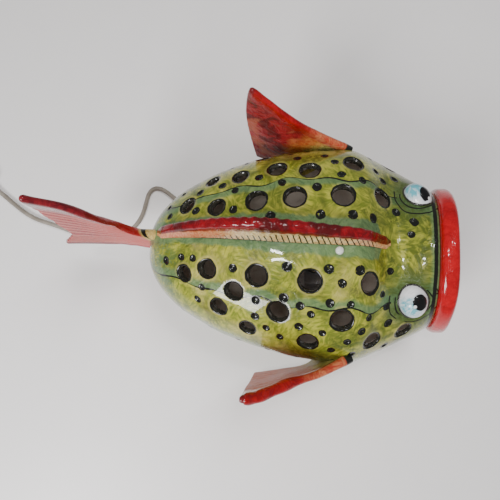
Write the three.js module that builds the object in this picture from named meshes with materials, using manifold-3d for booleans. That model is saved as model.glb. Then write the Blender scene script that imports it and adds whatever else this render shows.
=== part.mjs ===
// A hand-painted majolica table lamp in the shape of a fat fish with a pierced body.
// The fish is designed with x along its length (head at +x), y = 0 on its middle plane and
// z = 0 on the table. At the end the lamp is moved so that the middle of its base is the origin.

import * as THREE from 'three';
import { mergeVertices } from 'three/addons/utils/BufferGeometryUtils.js';
import Module from 'manifold-3d';

const wasm = await Module();
wasm.setup();

// ---------- driving dimensions, in millimetres and degrees ----------

const gap = 0.3;                 // clearance between touching pieces
const tailEndX = -100;           // rear end of the body
const bellyX = 88;               // the widest station
const neckX = 175;               // where the lip ring starts
const axisZ = 80;                // height of the widest level
const bodyHalf = 106;            // half width at the belly
const bodyUp = 72;               // from the widest level to the back
const bodyDown = 90;             // to the belly's lowest point, before the foot is cut flat
const wall = 6;                  // ceramic wall
const neckTilt = 14;             // the mouth looks up by this angle
const headTurn = 2.6;            // the head is set this far to the right of the body's line
const footZ = 3;                 // underside of the ceramic foot, above the pads
const footTopZ = 10;             // top of the foot's inner flange
const footCentreX = 73;
const footOpening = [44, 37];    // half axes of the oval opening underneath

const lip = { inner: 50, outer: 69.4, width: 15.5 };
// The two eyes are set by hand, each a little different: middle, half sizes and turn about z.
const eyes = {
  left: { at: [149.5, 45.5, 127], size: [11, 14, 12], turn: 35 },
  right: { at: [141.5, -46.5, 128], size: [12.3, 15.2, 12.5], turn: 0 },
};
const lampAxisX = footCentreX;   // the bulb's axis stands over the middle of the foot
const bridgeZ = 26;              // top of the steel bridge that carries the lampholder

const cordDiameter = 5;
const cordHoleRadius = 5.5;
const cordExit = [-58, 44, 38];  // where the cord leaves the wall, low at the back
const cordExitWay = new THREE.Vector3(-0.5, 0.45, -0.74).normalize();

// The pierced holes, row by row. angle is the height round the flank: 0 at its widest, 90 on top.
// Each hole is [station along x, diameter], or [station, diameter, its own angle].
const holeRows = [
  { side: 1, angle: 70, holes: [[-59, 14, 60], [-31, 14], [4, 17], [37, 18], [78, 19], [119, 16, 66]] },
  { side: 1, angle: 47, holes: [[-37, 12, 40], [-11, 14], [22, 16], [51, 17, 52], [91, 17]] },
  { side: 1, angle: 21, holes: [[10, 14], [71, 16], [134, 15], [158, 11]] },
  { side: -1, angle: 72, holes: [[-58, 13, 65], [-37, 15], [6, 17], [50, 18], [102, 17]] },
  { side: -1, angle: 53, holes: [[-26, 14, 46], [-13, 15, 61], [25, 17], [78, 18]] },
  { side: -1, angle: 35, holes: [[0, 13], [52, 16], [111, 16], [146, 13, 32]] },
];

// ---------- small helpers ----------

const degrees = Math.PI / 180;
const lerp = (a, b, t) => a + (b - a) * t;
const smooth = (t) => t * t * (3 - 2 * t);
const signedPower = (v, p) => Math.sign(v) * Math.abs(v) ** p;

const lamp = new THREE.Group();      // everything that belongs to the lamp itself
const cordSet = new THREE.Group();   // the free cord and what is on it
const fish = new THREE.Group();
fish.add(lamp, cordSet);

function finish(color, roughness, metalness = 0) {
  return new THREE.MeshStandardMaterial({ color, roughness, metalness });
}

const glaze = {
  green: finish(0xa9ad4b, 0.18), red: finish(0xb8252a, 0.16), pink: finish(0xc9594f, 0.2),
  orange: finish(0xcf6a35, 0.2), white: finish(0xe9ece6, 0.14),
};
const steel = finish(0xb9bcc0, 0.35, 1);
const brass = finish(0xc9a95a, 0.3, 1);
const blackPlastic = finish(0x1c1c1e, 0.5);
const cordPlastic = finish(0xa4a4a8, 0.45);
const rubber = finish(0x3a3a3c, 0.85);
const glass = finish(0xf4f1e6, 0.05);

function piece(name, geometry, material, group = lamp) {
  const mesh = new THREE.Mesh(geometry, material);
  mesh.name = name;
  group.add(mesh);
  return mesh;
}

function toManifold(geometry) {
  const bare = geometry.clone();
  bare.deleteAttribute('normal');
  bare.deleteAttribute('uv');
  const merged = mergeVertices(bare, 1e-4);
  return new wasm.Manifold(new wasm.Mesh({
    numProp: 3,
    vertProperties: new Float32Array(merged.attributes.position.array),
    triVerts: new Uint32Array(merged.index.array),
  }));
}

function toGeometry(solid) {
  const mesh = solid.getMesh();
  const geometry = new THREE.BufferGeometry();
  geometry.setAttribute('position', new THREE.BufferAttribute(mesh.vertProperties, 3));
  geometry.setIndex(new THREE.BufferAttribute(mesh.triVerts, 1));
  geometry.computeVertexNormals();
  return geometry;
}

function cut(solid, ...tools) {
  return tools.reduce((rest, tool) => rest.subtract(tool), solid);
}

// A closed skin over rows of points: each ring has the same number of points, and both ends are
// closed by a fan round their middle point.
function loft(rings) {
  const count = rings[0].length;
  const points = rings.flat();
  const indices = [];
  for (let r = 0; r + 1 < rings.length; r++) {
    for (let k = 0; k < count; k++) {
      const a = r * count + k;
      const b = r * count + (k + 1) % count;
      indices.push(a, b, a + count, b, b + count, a + count);
    }
  }
  for (const [ring, first] of [[0, true], [rings.length - 1, false]]) {
    const middle = rings[ring].reduce((sum, p) => sum.add(p), new THREE.Vector3()).divideScalar(count);
    const tip = points.push(middle) - 1;
    for (let k = 0; k < count; k++) {
      const a = ring * count + k;
      const b = ring * count + (k + 1) % count;
      indices.push(...(first ? [b, a, tip] : [a, b, tip]));
    }
  }
  // The rings may run either way round, so the faces are turned outwards here.
  let volume = 0;
  for (let i = 0; i < indices.length; i += 3) {
    volume += points[indices[i]].dot(points[indices[i + 1]].clone().cross(points[indices[i + 2]]));
  }
  if (volume < 0) indices.reverse();
  const geometry = new THREE.BufferGeometry().setFromPoints(points);
  geometry.setIndex(indices);
  return geometry;
}

function boxAt(x, y, z, sizeX, sizeY, sizeZ) {
  return new THREE.BoxGeometry(sizeX, sizeY, sizeZ).translate(x, y, z);
}

// A round post along z, between two heights.
function post(x, y, bottom, top, radius, sides = 14) {
  return new THREE.CylinderGeometry(radius, radius, top - bottom, sides)
    .rotateX(90 * degrees).translate(x, y, (bottom + top) / 2);
}

// A turned piece: profile points are [radius, height], and the axis stands at x, y.
function turned(profile, x, y, sides = 18) {
  const points = profile.map(([r, z]) => new THREE.Vector2(r, z));
  return new THREE.LatheGeometry(points, sides).rotateX(90 * degrees).translate(x, y, 0);
}

// A turned tube: its wall is a closed profile.
function turnedTube(x, y, bottom, top, inner, outer, sides = 16) {
  const profile = [[inner, bottom], [outer, bottom], [outer, top], [inner, top], [inner, bottom]];
  return turned(profile, x, y, sides);
}

function ovalPlate(x, halfX, halfY, bottom, top, sides = 48) {
  const outline = new THREE.Shape().absellipse(x, 0, halfX, halfY, 0, 2 * Math.PI);
  const depth = top - bottom;
  const plate = new THREE.ExtrudeGeometry(outline, { depth, bevelEnabled: false, curveSegments: sides });
  return plate.translate(0, 0, bottom);
}

// ---------- the body's surface ----------

// The section at a station: half width, height above and below the axis, axis height and tilt.
// skin moves the whole surface out (or in, when negative) by that distance.
function section(x, skin = 0) {
  if (x <= bellyX) {
    const s = THREE.MathUtils.clamp((x - tailEndX + skin) / (bellyX - tailEndX + skin), 0, 1);
    const round = (1 - (1 - s) ** 1.6) ** (1 / 2.2);
    const roundBack = (1 - (1 - s) ** 1.9) ** (1 / 2.1);
    return { half: (bodyHalf + skin) * round, up: (bodyUp + skin) * roundBack,
      down: (bodyDown + skin) * round, z: axisZ, tilt: 0 };
  }
  const t = Math.min((x - bellyX) / (neckX - bellyX), 1);
  const saddle = 14 * Math.sin(Math.PI * t) ** 2;   // the back dips between the fin and the lip
  return { half: bodyHalf - 40 * t ** 1.4 + skin, up: bodyUp - 8 * t - saddle + skin,
    down: bodyDown - 26 * t ** 1.4 + skin, z: axisZ + 3 * t, tilt: neckTilt * degrees * smooth(t) };
}

// Ahead of the belly the body swings to the right, so that the mouth is turned by headTurn.
function turnHead(point) {
  const reach = Math.max(point.x - bellyX, 0);
  const swing = Math.tan(headTurn * degrees) * smooth(Math.min(reach / (neckX - bellyX), 1));
  return new THREE.Vector3(point.x + point.y * swing, point.y - reach * swing, point.z);
}

function bodyPoint(x, angle, skin = 0) {
  const { half, up, down, z, tilt } = section(x, skin);
  const c = Math.cos(angle);
  const s = Math.sin(angle);
  const y = half * signedPower(c, 2 / 2.2);
  const rise = (s > 0 ? up : down) * signedPower(s, 2 / 2.2);
  return turnHead(new THREE.Vector3(x - rise * Math.sin(tilt), y, z + rise * Math.cos(tilt)));
}

function bodyNormal(x, angle) {
  const step = 0.01;
  const along = bodyPoint(x + 1, angle).sub(bodyPoint(x - 1, angle));
  const round = bodyPoint(x, angle + step).sub(bodyPoint(x, angle - step));
  return round.cross(along).normalize();
}

// The whole body as one solid. reach carries the neck on past its end along the mouth's axis.
function bodySolid(skin, reach, rearRings = 10, frontRings = 7, around = 30) {
  const stations = [];
  for (let i = 0; i < rearRings; i++) {
    const share = Math.max(1 - Math.cos((i / rearRings) * Math.PI / 2), 0.0015);
    stations.push(lerp(tailEndX - skin, bellyX, share));
  }
  for (let i = 0; i <= frontRings; i++) stations.push(lerp(bellyX, neckX, i / frontRings));
  const rings = stations.map((x) => {
    const ring = [];
    for (let k = 0; k < around; k++) ring.push(bodyPoint(x, (k / around) * 2 * Math.PI, skin));
    return ring;
  });
  if (reach > 0) {
    const ahead = new THREE.Vector3(Math.cos(neckTilt * degrees), 0, Math.sin(neckTilt * degrees))
      .applyAxisAngle(new THREE.Vector3(0, 0, 1), -headTurn * degrees);
    rings.push(rings.at(-1).map((p) => p.clone().addScaledVector(ahead, reach)));
  }
  return toManifold(loft(rings));
}

// A straight drill through the wall, square to the surface.
function drill(origin, way, radius, before, after, sides = 10) {
  const geometry = new THREE.CylinderGeometry(radius, radius, before + after, sides);
  geometry.translate(0, (after - before) / 2, 0);
  geometry.applyQuaternion(new THREE.Quaternion().setFromUnitVectors(new THREE.Vector3(0, 1, 0), way));
  return geometry.translate(origin.x, origin.y, origin.z);
}

// ---------- ceramic pieces ----------

const boltY = 47;                // the bridge's screws pass through the foot's flange here
const boltHole = 2.6;

function bodyShell() {
  const underFlange = toManifold(boxAt(40, 0, footTopZ - 50, 400, 300, 100));
  const cavity = cut(bodySolid(-wall, 15, 9, 5, 28), underFlange);
  const tools = [cavity, toManifold(boxAt(40, 0, footZ - 50, 400, 300, 100)),
    toManifold(ovalPlate(footCentreX, ...footOpening, -5, footTopZ + 5, 12))];
  for (const { side, angle, holes } of holeRows) {
    for (const [x, diameter, ownAngle] of holes) {
      const turn = (side > 0 ? (ownAngle ?? angle) : 180 - (ownAngle ?? angle)) * degrees;
      tools.push(toManifold(drill(bodyPoint(x, turn), bodyNormal(x, turn), diameter / 2, 16, 8)));
    }
  }
  for (const side of [-1, 1]) tools.push(toManifold(post(lampAxisX, side * boltY, 0, 20, boltHole, 12)));
  tools.push(toManifold(drill(new THREE.Vector3(...cordExit), cordExitWay, cordHoleRadius, 14, 12, 12)));
  return toGeometry(cut(bodySolid(0, 0), ...tools));
}

// Everything that sits on the body is cut back to its surface, less the gap.
const clearBody = bodySolid(gap + 0.1, 0);

function seated(geometry) {
  return toGeometry(cut(toManifold(geometry), clearBody));
}

function lipRing() {
  const { inner, outer, width } = lip;
  const middle = (inner + outer) / 2;
  const halfWall = (outer - inner) / 2;
  const profile = [];
  for (let k = 0; k <= 10; k++) {
    const a = (k / 10) * 2 * Math.PI;
    profile.push(new THREE.Vector2(middle - halfWall * signedPower(Math.cos(a), 0.62),
      width / 2 - (width / 2) * signedPower(Math.sin(a), 0.62)));
  }
  const ring = new THREE.LatheGeometry(profile, 32);
  ring.rotateZ(-90 * degrees).translate(gap, 0, 0);
  ring.rotateY(-neckTilt * degrees).rotateZ(-headTurn * degrees);
  return ring.translate(...turnHead(new THREE.Vector3(neckX, 0, axisZ + 3)).toArray());
}

// The ridge along the back: a rounded wall that swells from nothing, and dies out on the neck.
function dorsalFin() {
  const from = -88;
  const to = 127;
  const rings = [];
  for (let i = 0; i <= 16; i++) {
    const t = i / 16;
    const x = lerp(from, to, t);
    const height = 27 * Math.min(1, 2.4 * t) ** 0.8 * (1 - Math.max(0, (t - 0.22) / 0.78) ** 1.5) + 1.2;
    const lean = lerp(9, 1, smooth(t));             // the ridge swings to one side towards the tail
    const base = lerp(5, 8, Math.sin(Math.PI * t));
    const crest = lerp(3, 5.5, Math.sin(Math.PI * t));
    const back = bodyPoint(x, 90 * degrees);
    const ring = [];
    const profile = [[1, -0.6], [1, 0.15], [1, 0.8], [0.6, 1], [-0.6, 1], [-1, 0.8], [-1, 0.15],
      [-1, -0.6]];
    for (const [side, share] of profile) {
      const halfThick = share > 0.5 ? crest : base;
      const rise = share < 0 ? -12 : share * height;
      ring.push(new THREE.Vector3(back.x, back.y + lean + side * halfThick + 2 * share, back.z + rise));
    }
    rings.push(ring);
  }
  return seated(loft(rings));
}

// A thin blade: surfacePoint gives its middle surface and halfThickness the swelling, over
// u from root to tip and v from the leading to the trailing edge.
function blade(surfacePoint, halfThickness, rows = 7, columns = 8) {
  const rings = [];
  for (let i = 0; i <= rows; i++) {
    const u = i / rows;
    const ring = [];
    const normalAt = (v) => {
      const du = surfacePoint(Math.min(u + 0.02, 1), v).sub(surfacePoint(Math.max(u - 0.02, 0), v));
      const dv = surfacePoint(u, Math.min(v + 0.02, 1)).sub(surfacePoint(u, Math.max(v - 0.02, 0)));
      return du.cross(dv).normalize();
    };
    for (const face of [1, -1]) {
      for (let j = 0; j <= columns; j++) {
        const v = face > 0 ? j / columns : 1 - j / columns;
        ring.push(surfacePoint(u, v).addScaledVector(normalAt(v), face * halfThickness(u, v)));
      }
    }
    rings.push(ring);
  }
  return loft(rings);
}

// A smooth curve through a few points.
function curveThrough(points) {
  return new THREE.CatmullRomCurve3(points.map((p) => new THREE.Vector3(...p)));
}

// The two fins at the sides stand nearly upright and sweep back and out. Each was shaped by hand:
// the upper edge runs from its front root to the tip, and the lower edge to the rear corner.
const finEdges = {
  left: {
    upper: [[93, 97, 111], [61, 102.5, 128], [36, 107.5, 142], [9, 118, 158], [-3, 123, 166]],
    lower: [[52, 86, 60], [30, 106, 48], [5, 119, 39]],
    fullness: 6,
  },
  right: {
    upper: [[92, -98, 110], [62, -110.5, 125], [36, -117, 140], [9, -125, 159], [-2, -125.5, 166]],
    lower: [[80, -94, 54], [62, -111, 50], [36, -117.5, 46], [9.5, -122.5, 42]],
    fullness: 0.5,
  },
};

function pectoralFin(side) {
  const upper = curveThrough(finEdges[side].upper);
  const lower = curveThrough(finEdges[side].lower);
  const { fullness } = finEdges[side];           // how far the rear edge bows out
  const surfacePoint = (u, v) => {
    const p = upper.getPoint(u).lerp(lower.getPoint(u), v);
    p.x -= fullness * u * Math.sin(Math.PI * v ** 0.7);
    return p;
  };
  return seated(blade(surfacePoint, (u, v) => lerp(2.8, 1.5, Math.sqrt(v)) * lerp(1.15, 0.85, u)));
}

// The forked tail stands upright on the rear end, set a little to one side.
function tailFin() {
  const y = 8;
  const upperEdge = curveThrough([[-84, y, 94], [-100, y, 106], [-111, y, 128], [-117, y, 150],
    [-124, y, 174], [-137, y, 194], [-155, y, 212]]);
  const lowerEdge = curveThrough([[-84, y, 74], [-108, y, 60], [-140, y, 52], [-190, y, 62]]);
  const middle = curveThrough([[-84, y, 92], [-120, y, 94], [-168, y, 97]]);
  const surfacePoint = (u, v) => {
    const edge = (v < 0.5 ? upperEdge : lowerEdge).getPoint(u);
    const p = middle.getPoint(u).lerp(edge, Math.abs(1 - 2 * v) ** 0.85);
    p.y += Math.sin(2.2 * Math.PI * u) * (v < 0.5 ? 1 : -2) * Math.abs(1 - 2 * v);
    return p;
  };
  const halfThickness = (u, v) => lerp(4.6, 2.4, Math.sqrt(u)) * lerp(0.85, 1.1, Math.max(0, 1 - 2 * v));
  return seated(blade(surfacePoint, halfThickness, 9, 12));
}

function eyeball({ at, size, turn }) {
  const ball = new THREE.SphereGeometry(1, 16, 10).rotateX(90 * degrees).scale(...size);
  return seated(ball.rotateZ(turn * degrees).translate(...at));
}

piece('body_shell', bodyShell(), glaze.green);
piece('lip_ring', lipRing(), glaze.red);
piece('dorsal_fin', dorsalFin(), glaze.red);
piece('tail_fin', tailFin(), glaze.pink);
piece('left_pectoral_fin', pectoralFin('left'), glaze.orange);
piece('right_pectoral_fin', pectoralFin('right'), glaze.orange);
piece('left_eye', eyeball(eyes.left), glaze.white);
piece('right_eye', eyeball(eyes.right), glaze.white);

// ---------- feet and the steel bridge ----------

['front_left', 'rear_left', 'rear_right', 'front_right'].forEach((corner, k) => {
  const a = (35 + [0, 110, 180, 290][k]) * degrees;
  const pad = post(footCentreX + 50 * Math.cos(a), 44 * Math.sin(a), 0, footZ - gap, 5.5);
  piece(`foot_pad_${corner}`, pad, rubber);
});

// A strip of steel, bent up in the middle, whose ends lie on the foot's flange.
function bridge() {
  const thick = 2;
  const low = footTopZ + gap;
  const outline = new THREE.Shape([[-54, low], [-32, low], [-24, bridgeZ - thick], [24, bridgeZ - thick],
    [32, low], [54, low], [54, low + thick], [33.2, low + thick], [25.2, bridgeZ], [-25.2, bridgeZ],
    [-33.2, low + thick], [-54, low + thick]].map(([y, z]) => new THREE.Vector2(y, z)));
  const strip = new THREE.ExtrudeGeometry(outline, { depth: 22, bevelEnabled: false });
  strip.rotateX(90 * degrees).rotateZ(90 * degrees).translate(lampAxisX - 11, 0, 0);
  const holes = [-boltY, boltY].map((y) => toManifold(post(lampAxisX, y, 0, 40, boltHole, 12)));
  return toGeometry(cut(toManifold(strip), ...holes, toManifold(post(lampAxisX, 0, 0, 60, 5.4, 14))));
}

function hexNut(x, y, bottom, height, acrossFlats, holeRadius) {
  const hex = post(x, y, bottom, bottom + height, acrossFlats / Math.sqrt(3), 6);
  const hole = post(x, y, bottom - 1, bottom + height + 1, holeRadius, 14);
  return toGeometry(cut(toManifold(hex), toManifold(hole)));
}

piece('steel_bridge', bridge(), steel);
for (const [name, side] of [['left', 1], ['right', -1]]) {
  const y = side * boltY;
  const headTop = footZ - gap;
  const profile = [[0, 0.7], [3.6, 0.7], [3.6, headTop], [2, headTop], [2, 19], [0, 19]];
  piece(`bridge_screw_${name}`, turned(profile, lampAxisX, y, 16), steel);
  piece(`bridge_nut_${name}`, hexNut(lampAxisX, y, footTopZ + 2 * gap + 2, 3.2, 7, 2.3), steel);
}

// ---------- lampholder and bulb ----------

const bulbCapBottom = 42;

// The hollow threaded tube that joins the holder to the bridge; the lead comes up through it.
piece('threaded_nipple', turnedTube(lampAxisX, 0, 19, 36, 3.4, 5, 14), steel);
piece('nipple_nut_lower', hexNut(lampAxisX, 0, bridgeZ - 2 - gap - 2.6, 2.6, 14, 5.3), steel);
piece('nipple_nut_upper', hexNut(lampAxisX, 0, bridgeZ + gap, 2.6, 14, 5.3), steel);
piece('holder_cap', turned([[5.3, 29.2], [13.5, 29.2], [14, 30], [14, 40], [12.2, 40], [12.2, 31.4],
  [5.3, 31.4], [5.3, 29.2]], lampAxisX, 0), blackPlastic);
piece('holder_sleeve', turned([[10, 40.3], [14, 40.3], [14, 58], [15.5, 58.6], [15.5, 60.2], [10, 60.2],
  [10, 40.3]], lampAxisX, 0), blackPlastic);
const porcelain = finish(0xe7e2d6, 0.5);
piece('contact_block', turned([[0, 36.4], [9, 36.4], [9, 40.2], [0, 40.2]], lampAxisX, 0), porcelain);
piece('centre_contact', post(lampAxisX, 0, 40.5, 41.6, 2, 12), brass);
piece('thread_shell', turnedTube(lampAxisX, 0, 42, 57, 7.4, 8), brass);

function bulbCap() {
  const profile = [[0, bulbCapBottom], [2.6, bulbCapBottom], [4, 43.4], [6.6, 44.6]];
  for (let z = 45.4; z < 60; z += 2.82) profile.push([6.3, z], [6.9, z + 1.4]);
  profile.push([6.6, 60.4], [0, 60.4]);
  return turned(profile, lampAxisX, 0, 14);
}

function bulbGlobe() {
  const neck = 61;
  const centre = 91;
  const radius = 22.5;
  const outside = [[6.4, neck], [7.2, neck], [9, 66]];
  const inside = [];
  for (let k = 0; k <= 8; k++) {
    const a = lerp(-52, 90, k / 8) * degrees;
    outside.push([radius * Math.cos(a), centre + radius * Math.sin(a)]);
    inside.push([(radius - 0.9) * Math.cos(a), centre + (radius - 0.9) * Math.sin(a)]);
  }
  outside.at(-1)[0] = 0;
  inside.at(-1)[0] = 0;
  const profile = [...outside, ...inside.reverse(), [8.1, 66], [6.4, neck + 0.5], [6.4, neck]];
  return turned(profile, lampAxisX, 0, 16);
}

piece('bulb_cap', bulbCap(), brass);
piece('bulb_globe', bulbGlobe(), glass);
const stemProfile = [[0, 60.8], [4.6, 60.8], [4.2, 68], [1.6, 74], [1.6, 103], [0, 103.6]];
piece('filament_stem', turned(stemProfile, lampAxisX, 0, 14), glass);
for (let k = 0; k < 4; k++) {
  const a = (45 + 90 * k) * degrees;
  const rod = post(0, 0, -14, 14, 1.1, 8).rotateX(-16 * degrees);
  rod.rotateZ(a - 90 * degrees).translate(lampAxisX + 8 * Math.cos(a), 8 * Math.sin(a), 88);
  piece(`filament_${k + 1}`, rod, finish(0xf2c94a, 0.5));
}

// ---------- the lead inside, the strain relief and the free cord ----------

function tube(points, diameter, steps, sides = 8) {
  const corners = points.map((p) => new THREE.Vector3(...p));
  const path = new THREE.CatmullRomCurve3(corners, false, 'centripetal');
  const outline = new THREE.Shape();
  for (let k = 0; k < sides; k++) {
    const a = (k / sides) * 2 * Math.PI;
    const corner = [Math.cos(a) * diameter / 2, Math.sin(a) * diameter / 2];
    if (k === 0) outline.moveTo(...corner); else outline.lineTo(...corner);
  }
  outline.closePath();
  return new THREE.ExtrudeGeometry(outline, { steps, extrudePath: path, bevelEnabled: false });
}

const exitPoint = new THREE.Vector3(...cordExit);
const alongExit = (distance) => exitPoint.clone().addScaledVector(cordExitWay, distance).toArray();

// Up the nipple, under the bridge, over the foot's flange and back to the wall.
const leadRun = [[73, 0, 35], [73, 0, 25], [72.9, 0, 18.6], [70, 0.4, 12.4], [62, 1.2, 9.4], [50, 3, 11.6],
  [36, 6, 16.8], [14, 12, 20], [-12, 20, 26], [-32, 29, 38], [-44, 34, 50], alongExit(-16),
  alongExit(-12.6)];
piece('inner_lead', tube(leadRun, 4.6, 16), cordPlastic);

// A bush in the wall, with a soft tapered sleeve outside it.
function strainRelief() {
  const profile = [[2.8, -12.3], [7, -12.3], [7, -9.4], [5.1, -9.2], [5.1, 3], [7.4, 3.2], [7.2, 6],
    [5.6, 8], [3.6, 24], [2.8, 24], [2.8, -12.3]];
  const bush = new THREE.LatheGeometry(profile.map(([r, z]) => new THREE.Vector2(r, z)), 12);
  bush.applyQuaternion(new THREE.Quaternion().setFromUnitVectors(new THREE.Vector3(0, 1, 0), cordExitWay));
  return bush.translate(...cordExit);
}
piece('strain_relief', strainRelief(), cordPlastic);

const tableZ = cordDiameter / 2 + 0.1;   // the cord's centre line when it lies on the table

// From the sleeve down to the table, round behind the body, under the tail and away to the left.
const cordRun = [alongExit(24.4), alongExit(34), [-80.5, 64, 7.6], [-89.5, 71.5, 3.5], [-99, 79.5, tableZ],
  [-109, 86.5, tableZ], [-119, 88.5, tableZ], [-126, 82, tableZ], [-128.5, 69, tableZ], [-131, 55, tableZ],
  [-137, 42, tableZ], [-146, 32, tableZ], [-161, 25.5, tableZ], [-182, 23, tableZ], [-204, 26, tableZ],
  [-223, 33, tableZ], [-243, 39, tableZ], [-261, 44, tableZ], [-277, 53, tableZ], [-293, 65, tableZ],
  [-309, 77, tableZ]];
const switchEnd = [-317, 83];
const switchWay = new THREE.Vector2(-0.81, 0.586).normalize();
const switchSize = { length: 58, width: 20, height: 13 };
cordRun.push([switchEnd[0] + 0.2, switchEnd[1] - 0.1, switchSize.height / 2 - 1]);
piece('cord', tube(cordRun, cordDiameter, 36), cordPlastic, cordSet);

// The in-line switch: two half shells round the cord, a rocker and two screws.
const switchMiddle = [switchEnd[0] + switchWay.x * (switchSize.length / 2 + 0.4),
  switchEnd[1] + switchWay.y * (switchSize.length / 2 + 0.4)];

function placeOnSwitch(geometry) {
  const turn = Math.atan2(switchWay.y, switchWay.x);
  return geometry.rotateZ(turn).translate(switchMiddle[0], switchMiddle[1], 0);
}

function roundedPlate(length, width, corner, bottom, top) {
  const x = length / 2 - corner;
  const y = width / 2 - corner;
  const outline = new THREE.Shape();
  outline.absarc(x, y, corner, 0, 90 * degrees);
  outline.absarc(-x, y, corner, 90 * degrees, 180 * degrees);
  outline.absarc(-x, -y, corner, 180 * degrees, 270 * degrees);
  outline.absarc(x, -y, corner, 270 * degrees, 360 * degrees);
  const depth = top - bottom;
  const plate = new THREE.ExtrudeGeometry(outline, { depth, bevelEnabled: false, curveSegments: 5 });
  return plate.translate(0, 0, bottom);
}

const rocker = { length: 16, width: 9, pivotZ: 11 };
const { length: switchLength, width: switchWidth, height: switchHeight } = switchSize;
const switchSplit = switchHeight / 2 - 1;
const screwSpots = [-22, 22];
const screwDrills = screwSpots.map((x) => toManifold(post(x, 5.5, -1, 8.5, 1.9, 10)));
const lowerPlate = roundedPlate(switchLength, switchWidth, 8, 0, switchSplit - gap / 2);
const lowerHalf = toGeometry(cut(toManifold(lowerPlate), ...screwDrills));
piece('switch_lower_half', placeOnSwitch(lowerHalf), cordPlastic, cordSet);
const upperPlate = roundedPlate(switchLength, switchWidth, 8, switchSplit + gap / 2, switchHeight);
const rockerWell = boxAt(0, 0, 12, rocker.length + 2.4, rocker.width + 0.8, 10);
const upperHalf = toGeometry(cut(toManifold(upperPlate), toManifold(rockerWell), ...screwDrills));
piece('switch_upper_half', placeOnSwitch(upperHalf), cordPlastic, cordSet);
screwSpots.forEach((x, k) => {
  piece(`switch_screw_${k + 1}`, placeOnSwitch(post(x, 5.5, 0.4, 8, 1.5, 10)), steel, cordSet);
});

// The rocker pivots on its middle line: a shallow V on top, pressed down at one end at rest.
function rockerKey() {
  const { length, width, pivotZ } = rocker;
  const outline = new THREE.Shape([[-length / 2, 0.6], [0, -3.4], [length / 2, 0.6], [length / 2, 3.2],
    [0, 1.6], [-length / 2, 3.2]].map(([x, z]) => new THREE.Vector2(x, z)));
  const key = new THREE.ExtrudeGeometry(outline, { depth: width, bevelEnabled: false });
  key.rotateX(90 * degrees).translate(0, width / 2, 0).rotateY(-8 * degrees);
  return placeOnSwitch(key.translate(0, 0, pivotZ));
}
piece('switch_rocker', rockerKey(), blackPlastic, cordSet);

// The rest of the cord: from the switch round to the coil, the coil in its tie, and out to the plug.
const coil = { x: -354, y: 40, inner: 19.5, outer: 36.5, height: 10.6 };
const switchFar = [switchMiddle[0] + switchWay.x * (switchLength / 2 + 0.4),
  switchMiddle[1] + switchWay.y * (switchLength / 2 + 0.4)];
piece('cord_after_switch', tube([[...switchFar, switchSplit], [-377, 125, 3.6], [-390, 128.5, tableZ],
  [-401, 122, tableZ], [-405, 108, tableZ], [-403, 92, tableZ], [-398.5, 76, tableZ], [-394.5, 60, tableZ],
  [-393.6, 44, tableZ]], cordDiameter, 14), cordPlastic, cordSet);
const bundle = turnedTube(coil.x, coil.y, 0.1, coil.height, coil.inner, coil.outer, 32);
piece('cord_coil', bundle, cordPlastic, cordSet);
const plugRun = [[-347, 0, tableZ], [-338, -1.5, tableZ], [-331, -8, tableZ], [-329.5, -18, tableZ],
  [-335, -27, 3.4], [-344, -31.5, 5.6], [-350, -32, 6.6], [-355.9, -32, 6.7]];
piece('cord_to_plug', tube(plugRun, cordDiameter, 9), cordPlastic, cordSet);

// A soft strap round the coil's bundle.
function coilTie() {
  const { inner, outer, height } = coil;
  const low = 0.4;
  const outline = new THREE.Shape([[inner - 2.2, low], [inner - 1, low], [inner - 1, height + 0.4],
    [outer + 0.4, height + 0.4], [outer + 0.4, low], [outer + 1.6, low], [outer + 1.6, height + 1.6],
    [inner - 2.2, height + 1.6]].map(([x, z]) => new THREE.Vector2(x, z)));
  const strap = new THREE.ExtrudeGeometry(outline, { depth: 9, bevelEnabled: false });
  strap.rotateX(90 * degrees).translate(0, 4.5, 0).rotateZ(20 * degrees);
  return strap.translate(coil.x, coil.y, 0);
}
piece('coil_tie', coilTie(), rubber, cordSet);

// The flat two-pin plug lies beside the coil.
function plugBody() {
  const outline = new THREE.Shape();
  outline.moveTo(0, -3.6);
  outline.lineTo(-9, -4.4);
  outline.bezierCurveTo(-14, -5.5, -14, -10, -19, -11);
  outline.lineTo(-35, -13);
  outline.lineTo(-35, 13);
  outline.lineTo(-19, 11);
  outline.bezierCurveTo(-14, 10, -14, 5.5, -9, 4.4);
  outline.lineTo(0, 3.6);
  outline.closePath();
  return new THREE.ExtrudeGeometry(outline, { depth: 13, bevelEnabled: false, curveSegments: 5 })
    .translate(-356.4, -32, 0.2);
}
piece('plug_body', plugBody(), cordPlastic, cordSet);
for (const [name, side] of [['left', 1], ['right', -1]]) {
  const pin = new THREE.CylinderGeometry(2, 2, 19, 12).rotateZ(90 * degrees);
  piece(`plug_pin_${name}`, pin.translate(-356.4 - 35 - gap - 9.5, -32 + side * 9.5, 6.7), brass, cordSet);
}

// ---------- the origin: middle of the lamp's base, without the cord ----------

const footprint = new THREE.Box3().setFromObject(lamp, true);
const middle = footprint.getCenter(new THREE.Vector3());
fish.position.set(-middle.x, -middle.y, -footprint.min.z);
fish.updateMatrixWorld(true);

export default fish;
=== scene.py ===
import math

import bpy
import numpy as np
from mathutils import Matrix, Vector
from mathutils.geometry import delaunay_2d_cdt
from mathutils.kdtree import KDTree


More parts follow.
